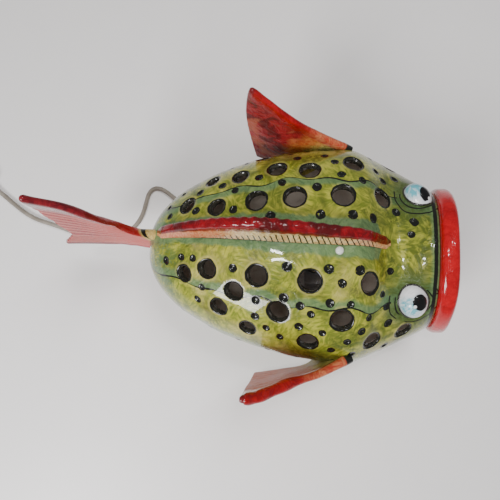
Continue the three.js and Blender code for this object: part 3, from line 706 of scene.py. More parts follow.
def buildBody(materials):
    x, turn, triangles = chartBody()
    holeGap = nearestGap(holes, x, turn)
    foot = footGap(x, turn)
    centreX, centreTurn = x[triangles].mean(1), turn[triangles].mean(1)
    keep = (nearestGap(holes, centreX, centreTurn) > 0) & (footGap(centreX, centreTurn) > 0)
    triangles = triangles[keep]

    # the seam under the ridge: both edges of the chart are the same points
    seamTop = np.where(turn > math.radians(90) - 1e-6)[0]
    seamLow = np.where(turn < math.radians(-270) + 1e-6)[0]
    seamTop = seamTop[np.argsort(x[seamTop])]
    seamLow = seamLow[np.argsort(x[seamLow])]
    swap = np.arange(len(x))
    swap[seamLow] = seamTop
    triangles = swap[triangles]

    dimpleDepth = np.zeros(len(x))
    dimpleGap = np.full(len(x), 1e3)
    for spot in dimples:
        gap = spotGap(spot, x, turn)
        share = np.clip(1 + gap / spot["radius"], 0, None)
        dimpleDepth = np.maximum(dimpleDepth, 0.42 * spot["radius"] * np.clip(1 - share ** 2, 0, 1) ** 0.8)
        dimpleGap = np.minimum(dimpleGap, gap)

    rim = bodyShape["rimRound"]
    rimDrop = np.clip(1 - holeGap / rim, 0, 1) ** 2 * bodyShape["edgeDrop"]
    footDrop = np.clip(1 - foot / 1.4, 0, 1) ** 2 * bodyShape["edgeDrop"]
    normal = bodyNormal(x, turn)
    uneven = lumps(x, turn) * smoothStep((bodyShape["neck"] - x) / 12) * smoothStep(foot / 12)
    depth = dimpleDepth + rimDrop + footDrop + bodyShape["glazeInset"] - uneven
    outside = bodyPoint(x, turn) - normal * depth[:, None]
    inside = bodyPoint(x, turn, -bodyShape["wall"]) + normal * rimDrop[:, None] * 0.8

    used, flatIndex = np.unique(triangles, return_inverse=True)
    triangles = flatIndex.reshape(triangles.shape)
    outside, inside, normal = outside[used], inside[used], normal[used]
    ux, uturn = x[used], turn[used]
    facing = np.cross(outside[triangles[:, 1]] - outside[triangles[:, 0]],
                      outside[triangles[:, 2]] - outside[triangles[:, 0]])
    wrong = (facing * normal[triangles].mean(1)).sum(1) < 0
    triangles[wrong] = triangles[wrong][:, ::-1]
    size = len(used)

    pairs = {}
    for a, b, c in triangles.tolist():
        for edge in ((a, b), (b, c), (c, a)):
            pairs[edge] = True
    border = [(a, b) for a, b in pairs if (b, a) not in pairs]
    borderHole = nearestGap(holes, ux, uturn)
    walls, wallSlots = [], []
    for a, b in border:
        walls.append((b, a, a + size, b + size))
        wallSlots.append(1 if borderHole[a] < 0.2 else 2)
    faces = triangles.tolist() + [(c + size, b + size, a + size) for a, b, c in triangles.tolist()] + walls
    slots = [0] * len(triangles) + [2] * len(triangles) + wallSlots

    side = np.where(np.cos(uturn) >= 0, 1.0, -1.0)
    upTurn = np.where(side > 0, uturn, -math.pi - uturn)
    lateral = np.where(side > 0, upTurn - lateralTurn(ux, 1), upTurn - lateralTurn(ux, -1))
    perTurn = np.linalg.norm(bodySlopes(ux, uturn)[1], axis=-1)
    eyes = [np.linalg.norm(outside - np.array(eye["centre"]), axis=-1) for eye in eyeShapes.values()]
    # the band along the ridge keeps to the top and closes round the ridge's front end
    ridge = np.abs(outside[:, 1] - ridgeLean(ux)) + 400.0 * (np.sin(uturn) < 0)
    ridge = ridge + 3.0 * np.clip(ux - 112, 0, None)
    fields = {
        "holeGap": borderHole, "dimpleGap": dimpleGap[used], "lateral": lateral * perTurn,
        "ridgeGap": ridge, "eyeGap": np.minimum(*eyes), "neckGap": bodyShape["neck"] - ux,
        "station": ux, "flank": np.degrees(upTurn),
    }
    fields = {k: np.concatenate([v, v]) for k, v in fields.items()}
    return makeMesh("pierced_body", np.concatenate([outside, inside]), faces, materials, slots, fields)


bodyPaint = {
    "yellowGreen": (0.44, 0.43, 0.055), "leaf": (0.15, 0.19, 0.018), "olive": (0.060, 0.080, 0.012),
    "cream": (0.60, 0.50, 0.18), "creamDark": (0.36, 0.31, 0.075), "tealLight": (0.155, 0.245, 0.100),
    "teal": (0.065, 0.125, 0.052), "deepGreen": (0.020, 0.048, 0.017), "rust": (0.42, 0.12, 0.025),
    "ink": (0.008, 0.009, 0.007), "clay": (0.45, 0.30, 0.20),
    "rimDark": (0.010, 0.010, 0.009), "rim": (0.05, 0.048, 0.035),
    "insideDark": (0.46, 0.40, 0.33), "inside": (0.62, 0.56, 0.49),
    "ridgeBand": 17.0, "lineHalf": 0.6, "lineBand": 8.0,
}


def paint(name):
    return (*bodyPaint[name], 1.0)


def glazedBody():
    material, tree, shader = newMaterial("green glaze", Specular_IOR_Level=0.15, Coat_Roughness=0.04,
                                         Coat_IOR=1.42)
    brush = useGroup(tree, brushwork, Size=1.0)
    fine = useGroup(tree, brushwork, Size=0.45, Seed=0.37)
    broad = useGroup(tree, brushwork, Size=1.9, Seed=0.81)
    specks = useGroup(tree, glazeSpecks, Amount=0.12)
    place = objectPlace(tree)
    patch = noiseValue(tree, place, 26.0, 3.0, 0.6, 0.8)
    wobble = calc(tree, "SUBTRACT", noiseValue(tree, place, 160.0, 3.0), 0.5)
    sway = calc(tree, "SUBTRACT", noiseValue(tree, place, 42.0, 2.0), 0.5)

    greens = blendColour(tree, brush["Stroke"], paint("leaf"), paint("yellowGreen"))
    base = blendColour(tree, times(tree, spread(tree, patch, 0.46, 0.62), fine["Stroke"]),
                       greens, paint("olive"))
    creams = twoTone(tree, fine["Stroke"], bodyPaint, "cream")
    pale = noiseValue(tree, place, 15.0, 3.0, 0.6, 0.5)
    base = blendColour(tree, times(tree, spread(tree, pale, 0.52, 0.68), 0.6), base, creams)
    base = blendColour(tree, times(tree, brush["Pool"], 0.65), base, paint("leaf"))
    base = blendColour(tree, times(tree, broad["Pool"], 0.6), base, paint("olive"))

    tealBrush = nudge(tree, brush["Stroke"], 0.6, times(tree, fine["Stroke"], 0.4))
    teal = blendColour(tree, tealBrush, paint("teal"), paint("tealLight"))
    ridgeGap = nudge(tree, wobble, 6.0, attribute(tree, "ridgeGap"))
    ridgeGap = nudge(tree, sway, 9.0, ridgeGap)
    edge = bodyPaint["ridgeBand"]
    narrowing = spread(tree, attribute(tree, "station"), -70.0, 20.0, 6.0, 0.0)
    ridgeGap = calc(tree, "ADD", ridgeGap, narrowing)
    ridgeBand = spread(tree, ridgeGap, edge - 2.0, edge + 1.5, 0.95, 0.0)
    base = blendColour(tree, ridgeBand, base, teal)

    lateral = attribute(tree, "lateral")
    wandering = nudge(tree, wobble, 4.0, lateral)
    wandering = nudge(tree, sway, 5.0, wandering)
    band = bodyPaint["lineBand"]
    above = times(tree, spread(tree, lateral, -0.8, 0.3),
                 fade(tree, wandering, band - 3.0, band + 1.5))
    base = blendColour(tree, times(tree, above, 0.88), base, teal)

    flank = attribute(tree, "flank")
    station = attribute(tree, "station")
    low = nudge(tree, wobble, 8.0, flank)
    lowBand = between(tree, low, 4.0, 8.0, 15.0, 19.0)
    base = blendColour(tree, times(tree, lowBand, 0.75), base, teal)
    rust = times(tree, between(tree, low, -16.0, -2.0, 2.0, 9.0),
                 between(tree, station, -25.0, 10.0, 45.0, 75.0))
    base = blendColour(tree, times(tree, rust, 0.85), base, paint("rust"))
    bellyBand = spread(tree, low, -52.0, -40.0, 0.75, 0.0)
    base = blendColour(tree, bellyBand, base, teal)

    tailGreen = times(tree, fade(tree, station, -82.0, -58.0),
                     spread(tree, fine["Stroke"], 0.25, 0.6))
    base = blendColour(tree, times(tree, tailGreen, 0.8), base, teal)

    eyeGap = attribute(tree, "eyeGap")
    neckGap = attribute(tree, "neckGap")
    headDark = spread(tree, nudge(tree, sway, 16.0, eyeGap), 16.0, 34.0, 0.85, 0.0)
    headGreen = blendColour(tree, fine["Stroke"], paint("deepGreen"), paint("teal"))
    base = blendColour(tree, headDark, base, headGreen)
    front = times(tree, spread(tree, station, 118.0, 150.0, 0.0, 0.65),
                 spread(tree, brush["Stroke"], 0.2, 0.7, 1.0, 0.35))
    base = blendColour(tree, front, base, paint("olive"))
    neckBand = spread(tree, nudge(tree, wobble, 4.0, neckGap), 4.0, 9.0, 0.95, 0.0)
    base = blendColour(tree, neckBand, base, teal)

    thick = spread(tree, noiseValue(tree, place, 60.0, 2.0), 0.3, 0.7, 0.25, 1.6)
    thin = times(tree, thick, bodyPaint["lineHalf"])
    line = calc(tree, "LESS_THAN", calc(tree, "ABSOLUTE", lateral), thin)
    line = times(tree, line, calc(tree, "GREATER_THAN", eyeGap, 19.0))
    strokes = nudge(tree, sway, 6.0, eyeGap)
    arcs = calc(tree, "PINGPONG", calc(tree, "SUBTRACT", strokes, 15.5), 2.6)
    broken = spread(tree, noiseValue(tree, place, 34.0, 1.0), 0.42, 0.45)
    arc = times(tree, fade(tree, arcs, 0.4, 0.75),
               times(tree, fade(tree, eyeGap, 23.0, 25.0), broken))
    neckLine = nudge(tree, wobble, 1.5, neckGap)
    neckLine = between(tree, neckLine, 1.2, 1.8, 4.6, 5.4)
    ink = line
    for mark in (arc, neckLine):
        ink = calc(tree, "MAXIMUM", ink, mark)
    holeEdge = nudge(tree, wobble, 2.2, attribute(tree, "holeGap"))
    dimpleEdge = nudge(tree, wobble, 2.4, attribute(tree, "dimpleGap"))
    dab = times(tree, fade(tree, dimpleEdge, 0.7, 1.2),
               spread(tree, noiseValue(tree, place, 420.0, 2.0), 0.26, 0.33))
    # painted highlight: a pale cream ring round each hole, broken up by the pale noise, stands for the gloss
    # on the holes' rounded rims
    paintedRimHighlight = times(tree, spread(tree, holeEdge, 2.6, 4.4, 0.32, 0.0), spread(tree, pale, 0.40, 0.60))
    base = blendColour(tree, paintedRimHighlight, base, paint("cream"))
    for mark in (fade(tree, holeEdge, 1.5, 2.1), dab):
        ink = calc(tree, "MAXIMUM", ink, mark)
    base = blendColour(tree, ink, base, paint("ink"))
    base = blendColour(tree, times(tree, specks["Mask"], 0.5), base, paint("deepGreen"))

    height = addNode(tree, "ShaderNodeSeparateXYZ", {0: place}).outputs[2]
    bare = fade(tree, height, 0.0036, 0.0052)
    base = blendColour(tree, bare, base, paint("clay"))
    link(tree, base, shader, "Base Color")
    link(tree, calc(tree, "MULTIPLY_ADD", bare, 0.6, spread(tree, fine["Stroke"], 0.0, 1.0, 0.16, 0.26)),
         shader, "Roughness")
    link(tree, calc(tree, "MULTIPLY_ADD", bare, -0.9, 0.9), shader, "Coat Weight")
    relief = calc(tree, "MULTIPLY_ADD", brush["Height"], 0.8, times(tree, patch, 1.2))
    bump(tree, relief, 0.0005, shader)
    return material


def rimGlaze():
    material, tree, shader = newMaterial("black rim glaze", Specular_IOR_Level=0.2, Roughness=0.25,
                                         Coat_Weight=1.0, Coat_Roughness=0.06)
    brush = useGroup(tree, brushwork, Size=0.35)
    link(tree, twoTone(tree, brush["Stroke"], bodyPaint, "rim"), shader, "Base Color")
    bump(tree, brush["Height"], 0.0003, shader)
    return material


def insideGlaze():
    material, tree, shader = newMaterial("raw inside", Roughness=0.55)
    place = objectPlace(tree)
    throwing = noiseValue(tree, place, 55.0, 4.0)
    link(tree, twoTone(tree, throwing, bodyPaint, "inside"), shader, "Base Color")
    bump(tree, noiseValue(tree, place, 260.0, 3.0), 0.0004, shader)
    return material


blackRim = rimGlaze()
body = buildBody([glazedBody(), blackRim, insideGlaze()])
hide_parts("body_shell")


# Tools for closed pieces built from rings of points

def ringFaces(ringCount, size, closed=False):
    faces = []
    for r in range(ringCount if closed else ringCount - 1):
        a, b = r * size, ((r + 1) % ringCount) * size
        for k in range(size):
            n = (k + 1) % size
            faces.append((a + k, a + n, b + n, b + k))
    if not closed:
        faces.append(tuple(range(size - 1, -1, -1)))
        faces.append(tuple((ringCount - 1) * size + k for k in range(size)))
    return faces


def outwardFaces(points, faces):
    # a closed skin has a positive volume when its faces look outwards
    volume = 0.0
    for face in faces:
        a = points[face[0]]
        for k in range(1, len(face) - 1):
            volume += np.dot(a, np.cross(points[face[k]], points[face[k + 1]]))
    return faces if volume > 0 else [face[::-1] for face in faces]


def makeRings(name, rings, materials, closed=False, attributes=None, body="lamp", sharp=40.0):
    size = len(rings[0])
    points = np.concatenate([np.asarray(ring, float) for ring in rings])
    faces = outwardFaces(points, ringFaces(len(rings), size, closed))
    piece = makeMesh(name, points, faces, materials, attributes=attributes, body=body)
    piece.data.set_sharp_from_angle(angle=math.radians(sharp))
    return piece


def softCorners(profile, radius):
    # each corner of a turned profile becomes a small round
    rounded = [profile[0]]
    for before, corner, after in zip(profile, profile[1:], profile[2:]):
        corner = np.array(corner, float)
        toBefore, toAfter = np.array(before) - corner, np.array(after) - corner
        reach = min(radius, np.linalg.norm(toBefore) * 0.4, np.linalg.norm(toAfter) * 0.4)
        first = corner + unit(toBefore) * reach
        last = corner + unit(toAfter) * reach
        for t in (0.0, 0.33, 0.67, 1.0):
            rounded.append(tuple((1 - t) ** 2 * first + 2 * t * (1 - t) * corner + t * t * last))
    return rounded + [profile[-1]]


def turnedPiece(name, profile, middle, materials, body="lamp", way=(0, 0, 1), sides=56, radius=0.4,
                wave=None):
    # a profile of (radius, height) turned about its middle; wave adds to the radius by angle and height
    way = Vector(way).normalized()
    toWay = Vector((0, 0, 1)).rotation_difference(way).to_matrix()
    rings = []
    for r, h in softCorners(profile, radius):
        ring = []
        for k in range(sides):
            a = 2 * math.pi * k / sides
            reach = max(r, 0.02) + (wave(a, h) if wave and r > 0.1 else 0.0)
            p = toWay @ Vector((reach * math.cos(a), reach * math.sin(a), h))
            ring.append((middle[0] + p[0], middle[1] + p[1], middle[2] + p[2]))
        rings.append(ring)
    closed = profile[0] == profile[-1]
    return makeRings(name, rings[:-1] if closed else rings, materials, closed=closed, body=body)


def standFor(piece, slotName, *nodes):
    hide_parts(*nodes)
    return piece


# Glazes for the fins, ring and eyes
print("glazed fins, lip and eyes")


def glazeMaterial(name, build, roughness=0.2, reliefDepth=0.0004, coatOf=None):
    # build paints the colour; coatOf thins the clear coat where a piece is matt
    material, tree, shader = newMaterial(name, Specular_IOR_Level=0.12, Coat_Weight=0.9,
                                         Coat_Roughness=0.04, Coat_IOR=1.42)
    if coatOf:
        link(tree, coatOf(tree), shader, "Coat Weight")
    brush = useGroup(tree, brushwork, Size=0.8, Seed=0.5)
    fine = useGroup(tree, brushwork, Size=0.4, Seed=0.9)
    specks = useGroup(tree, glazeSpecks, Amount=0.1)
    colour = build(tree, brush, fine)
    colour = blendColour(tree, times(tree, specks["Mask"], 0.4), colour, rgb(0.05, 0.01, 0.01))
    link(tree, colour, shader, "Base Color")
    uneven = spread(tree, fine["Stroke"], 0.0, 1.0, roughness - 0.05, roughness + 0.06)
    link(tree, uneven, shader, "Roughness")
    bump(tree, brush["Height"], reliefDepth, shader)
    return material


lipSettings = {"inner": 50.0, "outer": 69.4, "width": 15.5, "ahead": 0.3, "square": 0.62, "sides": 120}
lipPaint = {
    "bright": (0.52, 0.004, 0.010), "deep": (0.34, 0.003, 0.008), "fresh": (0.56, 0.010, 0.014),
    "pooled": (0.26, 0.004, 0.006),
}


def makeLip():
    setup = lipSettings
    middle = 60.0
    halfWall = (setup["outer"] - setup["inner"]) / 2
    halfWidth = setup["width"] / 2
    profile = []
    for k in range(36):
        a = 2 * math.pi * k / 36
        profile.append((middle + halfWall * signedPower(math.cos(a), setup["square"]),
                        halfWidth + halfWidth * signedPower(math.sin(a), setup["square"])))
    leaning = Matrix.Rotation(-math.radians(bodyShape["neckTilt"]), 3, "Y")
    tilt = leaning @ Matrix.Rotation(math.radians(90), 3, "Y")
    turn = Matrix.Rotation(-math.radians(bodyShape["headTurn"]), 3, "Z")
    centre = turnHead((bodyShape["neck"], 0.0, bodyShape["axisHeight"] + 3.0))
    rings = []
    for i in range(setup["sides"]):
        a = 2 * math.pi * i / setup["sides"]
        swell = 1 + 0.006 * math.sin(3 * a + 1.0) + 0.004 * math.sin(7 * a)
        ring = []
        for r, h in profile:
            p = turn @ tilt @ Vector((r * swell * math.cos(a), r * swell * math.sin(a),
                                      h * (1 + 0.03 * math.sin(5 * a + 2)) + setup["ahead"]))
            ring.append(centre + np.array(p))
        rings.append(ring)

    def colours(tree, brush, fine):
        place = objectPlace(tree)
        patch = noiseValue(tree, place, 24.0, 3.0, 0.6, 0.5)
        red = blendColour(tree, spread(tree, patch, 0.40, 0.66), rgb(*lipPaint["bright"]),
                          rgb(*lipPaint["deep"]))
        red = blendColour(tree, times(tree, fine["Stroke"], 0.5), red, rgb(*lipPaint["fresh"]))
        return blendColour(tree, times(tree, brush["Pool"], 0.5), red, rgb(*lipPaint["pooled"]))

    piece = makeRings("lip", rings, [glazeMaterial("red lip glaze", colours, 0.16)], closed=True, sharp=75)
    standFor(piece, "glaze_red", "lip_ring")


makeLip()


ridgePaint = {
    "redDark": (0.13, 0.003, 0.006), "red": (0.25, 0.005, 0.009), "burnt": (0.065, 0.005, 0.006),
    "creamDark": (0.50, 0.30, 0.11), "cream": (0.72, 0.58, 0.29), "salmonDark": (0.50, 0.12, 0.055),
    "salmon": (0.62, 0.26, 0.12), "ink": (0.010, 0.009, 0.008),
}


def makeRidge():
    setup = ridgeSettings
    rings, share, station = [], [], []
    outline = [(1, -0.45), (1.02, -0.2), (1.03, 0.05), (0.98, 0.2), (0.93, 0.38), (0.9, 0.56), (0.9, 0.72),
               (0.86, 0.86), (0.68, 0.95), (0.36, 0.99), (0, 1.0)]
    outline = outline + [(-s, h) for s, h in outline[-2::-1]]
    for i in range(setup["stations"] + 1):
        t = i / setup["stations"]
        x = setup["from"] + (setup["to"] - setup["from"]) * t
        height = setup["height"] * min(1, 2.4 * t) ** 0.8 * (1 - max(0, (t - 0.22) / 0.78) ** 1.5) + 1.2
        wave = math.sin(2 * math.pi * x / setup["scallop"] + 1.4 * math.sin(x / 23.0))
        swell = math.sin(math.pi * t)
        base, crest = 5.0 + 3.0 * swell, 3.4 + 2.4 * swell
        back = bodyPoint(x, math.radians(90))
        ends = smoothStep(min(t, 1 - t) / 0.03)
        ring = []
        for s, h in outline:
            half = base + (crest - base) * smoothStep((h - 0.1) / 0.7)
            ripple = 0.35 * wave * smoothStep((h - 0.4) / 0.5) * swell
            rise = h * (height + 0.4 * wave * swell) * (0.35 + 0.65 * ends) if h > 0 else h * 12.0
            y = back[1] + ridgeLean(x) + s * half * (0.3 + 0.7 * ends) + 2.6 * max(h, 0) + ripple
            ring.append((back[0], y, back[2] - 0.6 + rise))
            share.append(h)
            station.append(x)
        rings.append(ring)

    def colours(tree, brush, fine):
        place = objectPlace(tree)
        up = attribute(tree, "rise")
        along = attribute(tree, "station")
        wobble = calc(tree, "SUBTRACT", noiseValue(tree, place, 130.0, 3.0), 0.5)
        red = twoTone(tree, brush["Stroke"], ridgePaint, "red")
        dark = noiseValue(tree, place, 52.0, 2.0, 0.5, 0.4)
        red = blendColour(tree, times(tree, spread(tree, dark, 0.50, 0.62), 0.85), red,
                          rgb(*ridgePaint["burnt"]))
        cream = twoTone(tree, fine["Stroke"], ridgePaint, "cream")
        salmon = twoTone(tree, fine["Stroke"], ridgePaint, "salmon")
        toTail = calc(tree, "MAXIMUM", fade(tree, along, -36.0, 4.0),
                      times(tree, spread(tree, along, 60.0, 112.0), 0.6))
        face = blendColour(tree, toTail, cream, salmon)
        lift = nudge(tree, wobble, 0.20, up)
        colour = blendColour(tree, spread(tree, lift, 0.56, 0.70), face, red)
        slanted = calc(tree, "MULTIPLY_ADD", up, 8.0, along)
        slanted = nudge(tree, wobble, 2.4, slanted)
        stripe = calc(tree, "PINGPONG", slanted, 2.4)
        reach = spread(tree, along, -10.0, 50.0, 0.36, 0.66)
        strokes = between(tree, along, -38.0, -12.0, 104.0, 110.0)
        short = fade(tree, calc(tree, "SUBTRACT", lift, reach), -0.06, 0.02)
        hatch = times(tree, fade(tree, stripe, 0.38, 0.80),
                     times(tree, short, strokes))
        foot = times(tree, fade(tree, lift, 0.06, 0.10),
                    spread(tree, along, -62.0, -40.0))
        return blendColour(tree, calc(tree, "MAXIMUM", hatch, foot), colour, rgb(*ridgePaint["ink"]))

    fields = {"rise": share, "station": station}
    material = glazeMaterial("ridge glaze", colours, 0.24, 0.0005)
    piece = makeRings("ridge", rings, [material], attributes=fields, sharp=60)
    standFor(piece, "glaze_red", "dorsal_fin")


makeRidge()


# A drop of white glaze stands beside the ridge
beadSettings = {"x": 73.5, "beside": 9.6, "whiteDark": (0.60, 0.62, 0.55), "white": (0.82, 0.82, 0.78)}


def makeBead():
    x = beadSettings["x"]
    turn = math.acos((beadSettings["beside"] / bodySection(np.array(x))[0]) ** 1.1)
    foot = bodyPoint(x, math.pi - turn)

    def colours(tree, brush, fine):
        return twoTone(tree, fine["Stroke"], beadSettings, "white")

    profile = [(0, -2.5), (2.4, -2.2), (3.5, -0.6), (3.4, 0.9), (2.4, 2.1), (0, 2.6)]
    bead = turnedPiece("glaze_bead", profile, foot, [glazeMaterial("white bead", colours, 0.2)], radius=1.0)


makeBead()


# A thin blade: surfaceAt gives its middle surface, thickAt its half thickness
def makeBlade(name, surfaceAt, thickAt, materials, rows=90, columns=70):
    step = 1e-3
    u, v = np.meshgrid(np.linspace(0, 1, rows), np.linspace(0, 1, columns), indexing="ij")
    du = surfaceAt(np.clip(u + step, 0, 1), v) - surfaceAt(np.clip(u - step, 0, 1), v)
    dv = surfaceAt(u, np.clip(v + step, 0, 1)) - surfaceAt(u, np.clip(v - step, 0, 1))
    normal = unit(np.cross(du, dv))
    middle = surfaceAt(u, v)
    thick = thickAt(u, v)[..., None]
    outwardV = unit(dv)
    rings = []
    fields = {"along": [], "across": []}
    rollSteps = 5
    for i in range(rows):
        ring, marks = [], []
        for face, order in ((1, range(columns)), (-1, range(columns - 1, -1, -1))):
            for j in order:
                ring.append(middle[i, j] + face * normal[i, j] * thick[i, j])
                marks.append((u[i, j], v[i, j]))
            # the edge is rolled round rather than cut square
            j = order[-1]
            away = outwardV[i, j] * (1 if face > 0 else -1)
            for k in range(1, rollSteps):
                a = math.pi * k / rollSteps
                rolled = face * normal[i, j] * math.cos(a) + away * math.sin(a)
                ring.append(middle[i, j] + thick[i, j] * rolled)
                marks.append((u[i, j], v[i, j]))
        rings.append(ring)
        for along, across in marks:
            fields["along"].append(along)
            fields["across"].append(across)
    last = np.array(rings[-1])
    away = unit(last - np.array(rings[-2])).mean(0)
    for shrink, push in ((0.82, 0.55), (0.45, 0.85)):
        # the far end closes in two small steps
        tip = []
        for p, (along, across) in zip(last, marks):
            j = int(round(across * (columns - 1)))
            tip.append(middle[-1, j] + (p - middle[-1, j]) * shrink + away * push * thick[-1, j])
            fields["along"].append(along)
            fields["across"].append(across)
        rings.append(tip)
    return makeRings(name, rings, materials, attributes=fields, sharp=70)


def curveThrough(points, t):
    # a smooth line through a few points, walked evenly by point number
    points = np.asarray(points, float)
    points = np.concatenate([[2 * points[0] - points[1]], points, [2 * points[-1] - points[-2]]])
    place = np.clip(t, 0, 1) * (len(points) - 3)
    first = np.minimum(place.astype(int), len(points) - 4)
    w = (place - first)[..., None]
    a, b, c, d = (points[first + k] for k in range(4))
    curved = 2 * b + (c - a) * w + (2 * a - 5 * b + 4 * c - d) * w ** 2
    return 0.5 * (curved + (3 * b - a - 3 * c + d) * w ** 3)


# The fins at the sides were shaped by hand, each a little different
sideFinSettings = {
    "left": {
        "upper": [(93, 97, 111), (61, 102.5, 128), (36, 107.5, 142), (9, 118, 158), (-3, 123, 166)],
        "lower": [(52, 86, 60), (30, 106, 48), (5, 119, 39)],
        "rim": (0.8, 0.9), "rimReach": 0.07, "salmon": 0.0, "fullness": 6.0,
    },
    "right": {
        "upper": [(92, -98, 110), (62, -110.5, 125), (36, -117, 140), (9, -125, 159), (-2, -125.5, 166)],
        "lower": [(80, -94, 54), (62, -111, 50), (36, -117.5, 46), (9.5, -122.5, 42)],
        # the salmon share paints the right fin's blade paler: its real red with a painted reflection, the
        # sheen its inner face shows at a grazing angle
        "rim": (1.2, 2.7), "rimReach": 0.10, "salmon": 0.8, "fullness": 0.5,
    },
}


# salmonDark and salmon are the fin red made paler by a painted reflection of that grazing sheen
finPaint = {
    "redDark": (0.20, 0.008, 0.012), "red": (0.36, 0.022, 0.024), "burnt": (0.085, 0.008, 0.008),
    "blush": (0.44, 0.12, 0.055), "orangeDark": (0.46, 0.09, 0.02), "orange": (0.60, 0.22, 0.055),
    "rootDark": (0.26, 0.25, 0.05), "root": (0.62, 0.50, 0.14), "salmonDark": (0.50, 0.085, 0.045),
    "salmon": (0.66, 0.17, 0.09), "ray": (0.06, 0.006, 0.006), "rimDark": (0.24, 0.004, 0.007),
    "rim": (0.40, 0.008, 0.010), "rimRootDark": (0.42, 0.045, 0.022), "rimRoot": (0.58, 0.19, 0.08),
    "tip": (0.12, 0.006, 0.008), "ink": (0.010, 0.012, 0.010),
}


def makeSideFin(side):
    setup = sideFinSettings[side]
    outward = 1 if side == "left" else -1

    def surfaceAt(u, v):
        upper = curveThrough(setup["upper"], u)
        lower = curveThrough(setup["lower"], u)
        v = v[..., None]
        u = u[..., None]
        p = upper + (lower - upper) * v
        p = p - setup["fullness"] * u * np.sin(math.pi * v ** 0.7) * np.array([1.0, 0.0, 0.0])
        waves = 1.0 * np.sin(6 * v + 4 * u) * u * np.sin(math.pi * v)
        return p + outward * waves * np.array([0.0, 1.0, 0.0])

    def thickAt(u, v):
        rim = np.exp(-(v / setup["rimReach"]) ** 2)
        thin, thickRim = setup["rim"]
        grown = thin + (thickRim - thin) * smoothStep((u - 0.35) / 0.2)
        grown = grown + 0.8 * smoothStep((0.22 - u) / 0.15)
        lumpy = 1 + 0.10 * np.sin(29 * u + 1.5 * np.sin(9 * u))
        corner = smoothStep((1 - u) / 0.06)
        blade = (2.0 - 0.7 * np.sqrt(v)) * (1.15 - 0.25 * u)
        rays = 0.06 * np.sin(2 * np.pi * 9 * v) * smoothStep(u * 3) * (1 - rim)
        return blade + grown * rim * lumpy * (0.45 + 0.55 * corner) + rays

    def colours(tree, brush, fine):
        place = objectPlace(tree)
        along = attribute(tree, "along")
        across = attribute(tree, "across")
        wobble = calc(tree, "SUBTRACT", noiseValue(tree, place, 55.0, 4.0, 0.6, 0.5), 0.5)
        red = twoTone(tree, brush["Stroke"], finPaint, "red")
        blotch = noiseValue(tree, place, 60.0, 2.0, 0.5, 0.5)
        red = blendColour(tree, times(tree, spread(tree, blotch, 0.52, 0.62), 0.8), red,
                          rgb(*finPaint["burnt"]))
        blush = noiseValue(tree, place, 38.0, 3.0, 0.5, 0.7)
        red = blendColour(tree, times(tree, spread(tree, blush, 0.54, 0.66), 0.6), red,
                          rgb(*finPaint["blush"]))
        orange = twoTone(tree, fine["Stroke"], finPaint, "orange")
        rootYellow = twoTone(tree, fine["Stroke"], finPaint, "root")
        reach = nudge(tree, wobble, 0.34, along)
        reach = calc(tree, "MULTIPLY_ADD", across, -0.22, reach)
        colour = blendColour(tree, spread(tree, reach, 0.10, 0.26), rootYellow, orange)
        # painted reflection: the salmon tones, blended in by each fin's salmon share, lighten the blade's
        # red as a grazing sheen would
        salmon = twoTone(tree, fine["Stroke"], finPaint, "salmon")
        red = blendColour(tree, setup["salmon"], red, salmon)
        colour = blendColour(tree, spread(tree, reach, 0.24, 0.42), colour, red)
        rays = calc(tree, "PINGPONG", nudge(tree, wobble, 0.05, across), 0.055)
        ray = times(tree, fade(tree, rays, 0.0, 0.012), 0.16)
        colour = blendColour(tree, ray, colour, rgb(*finPaint["ray"]))
        rimPlace = nudge(tree, wobble, 0.03, across)
        rim = fade(tree, rimPlace, setup["rimReach"] * 0.9, setup["rimReach"] * 1.35)
        bright = twoTone(tree, brush["Stroke"], finPaint, "rim")
        rimRoot = twoTone(tree, brush["Stroke"], finPaint, "rimRoot")
        pastRoot = spread(tree, nudge(tree, wobble, 0.2, along), 0.22, 0.46)
        bright = blendColour(tree, pastRoot, rimRoot, bright)
        colour = blendColour(tree, rim, colour, bright)
        tip = times(tree, spread(tree, along, 0.93, 0.99), fade(tree, across, 0.0, 0.25))
        colour = blendColour(tree, times(tree, tip, 0.8), colour, rgb(*finPaint["tip"]))
        atRoot = fade(tree, nudge(tree, wobble, 0.03, along), 0.045, 0.055)
        dab = times(tree, atRoot, fade(tree, across, 0.22, 0.30))
        return blendColour(tree, dab, colour, rgb(*finPaint["ink"]))

    def coat(tree):
        return spread(tree, attribute(tree, "across"), setup["rimReach"], 0.25, 0.9, 0.12)

    material = glazeMaterial("side fin glaze " + side, colours, 0.36, 0.0006, coat)
    piece = makeBlade("side_fin_" + side, surfaceAt, thickAt, [material])
    standFor(piece, "glaze_orange", side + "_pectoral_fin")


makeSideFin("left")
makeSideFin("right")


# The forked tail
tailSettings = {
    "y": 8.0,
    "upper": [(-84, 94), (-100, 106), (-111, 128), (-117, 150), (-124, 174), (-137, 194), (-155, 212)],
    "middle": [(-84, 92), (-120, 94), (-168, 97)],
    "lower": [(-84, 74), (-108, 60), (-140, 52), (-190, 62)],
    "rays": 20,
}


tailPaint = {
    "pinkDark": (0.46, 0.014, 0.014), "pink": (0.58, 0.040, 0.036), "roseDark": (0.24, 0.005, 0.010),
    "rose": (0.40, 0.014, 0.018), "ray": (0.80, 0.36, 0.30), "yellowDark": (0.50, 0.34, 0.09),
    "yellow": (0.72, 0.52, 0.19), "rimRoot": (0.42, 0.010, 0.016), "rimTip": (0.11, 0.006, 0.012),
    "rimStroke": (0.46, 0.03, 0.035), "ink": (0.010, 0.010, 0.009),
}


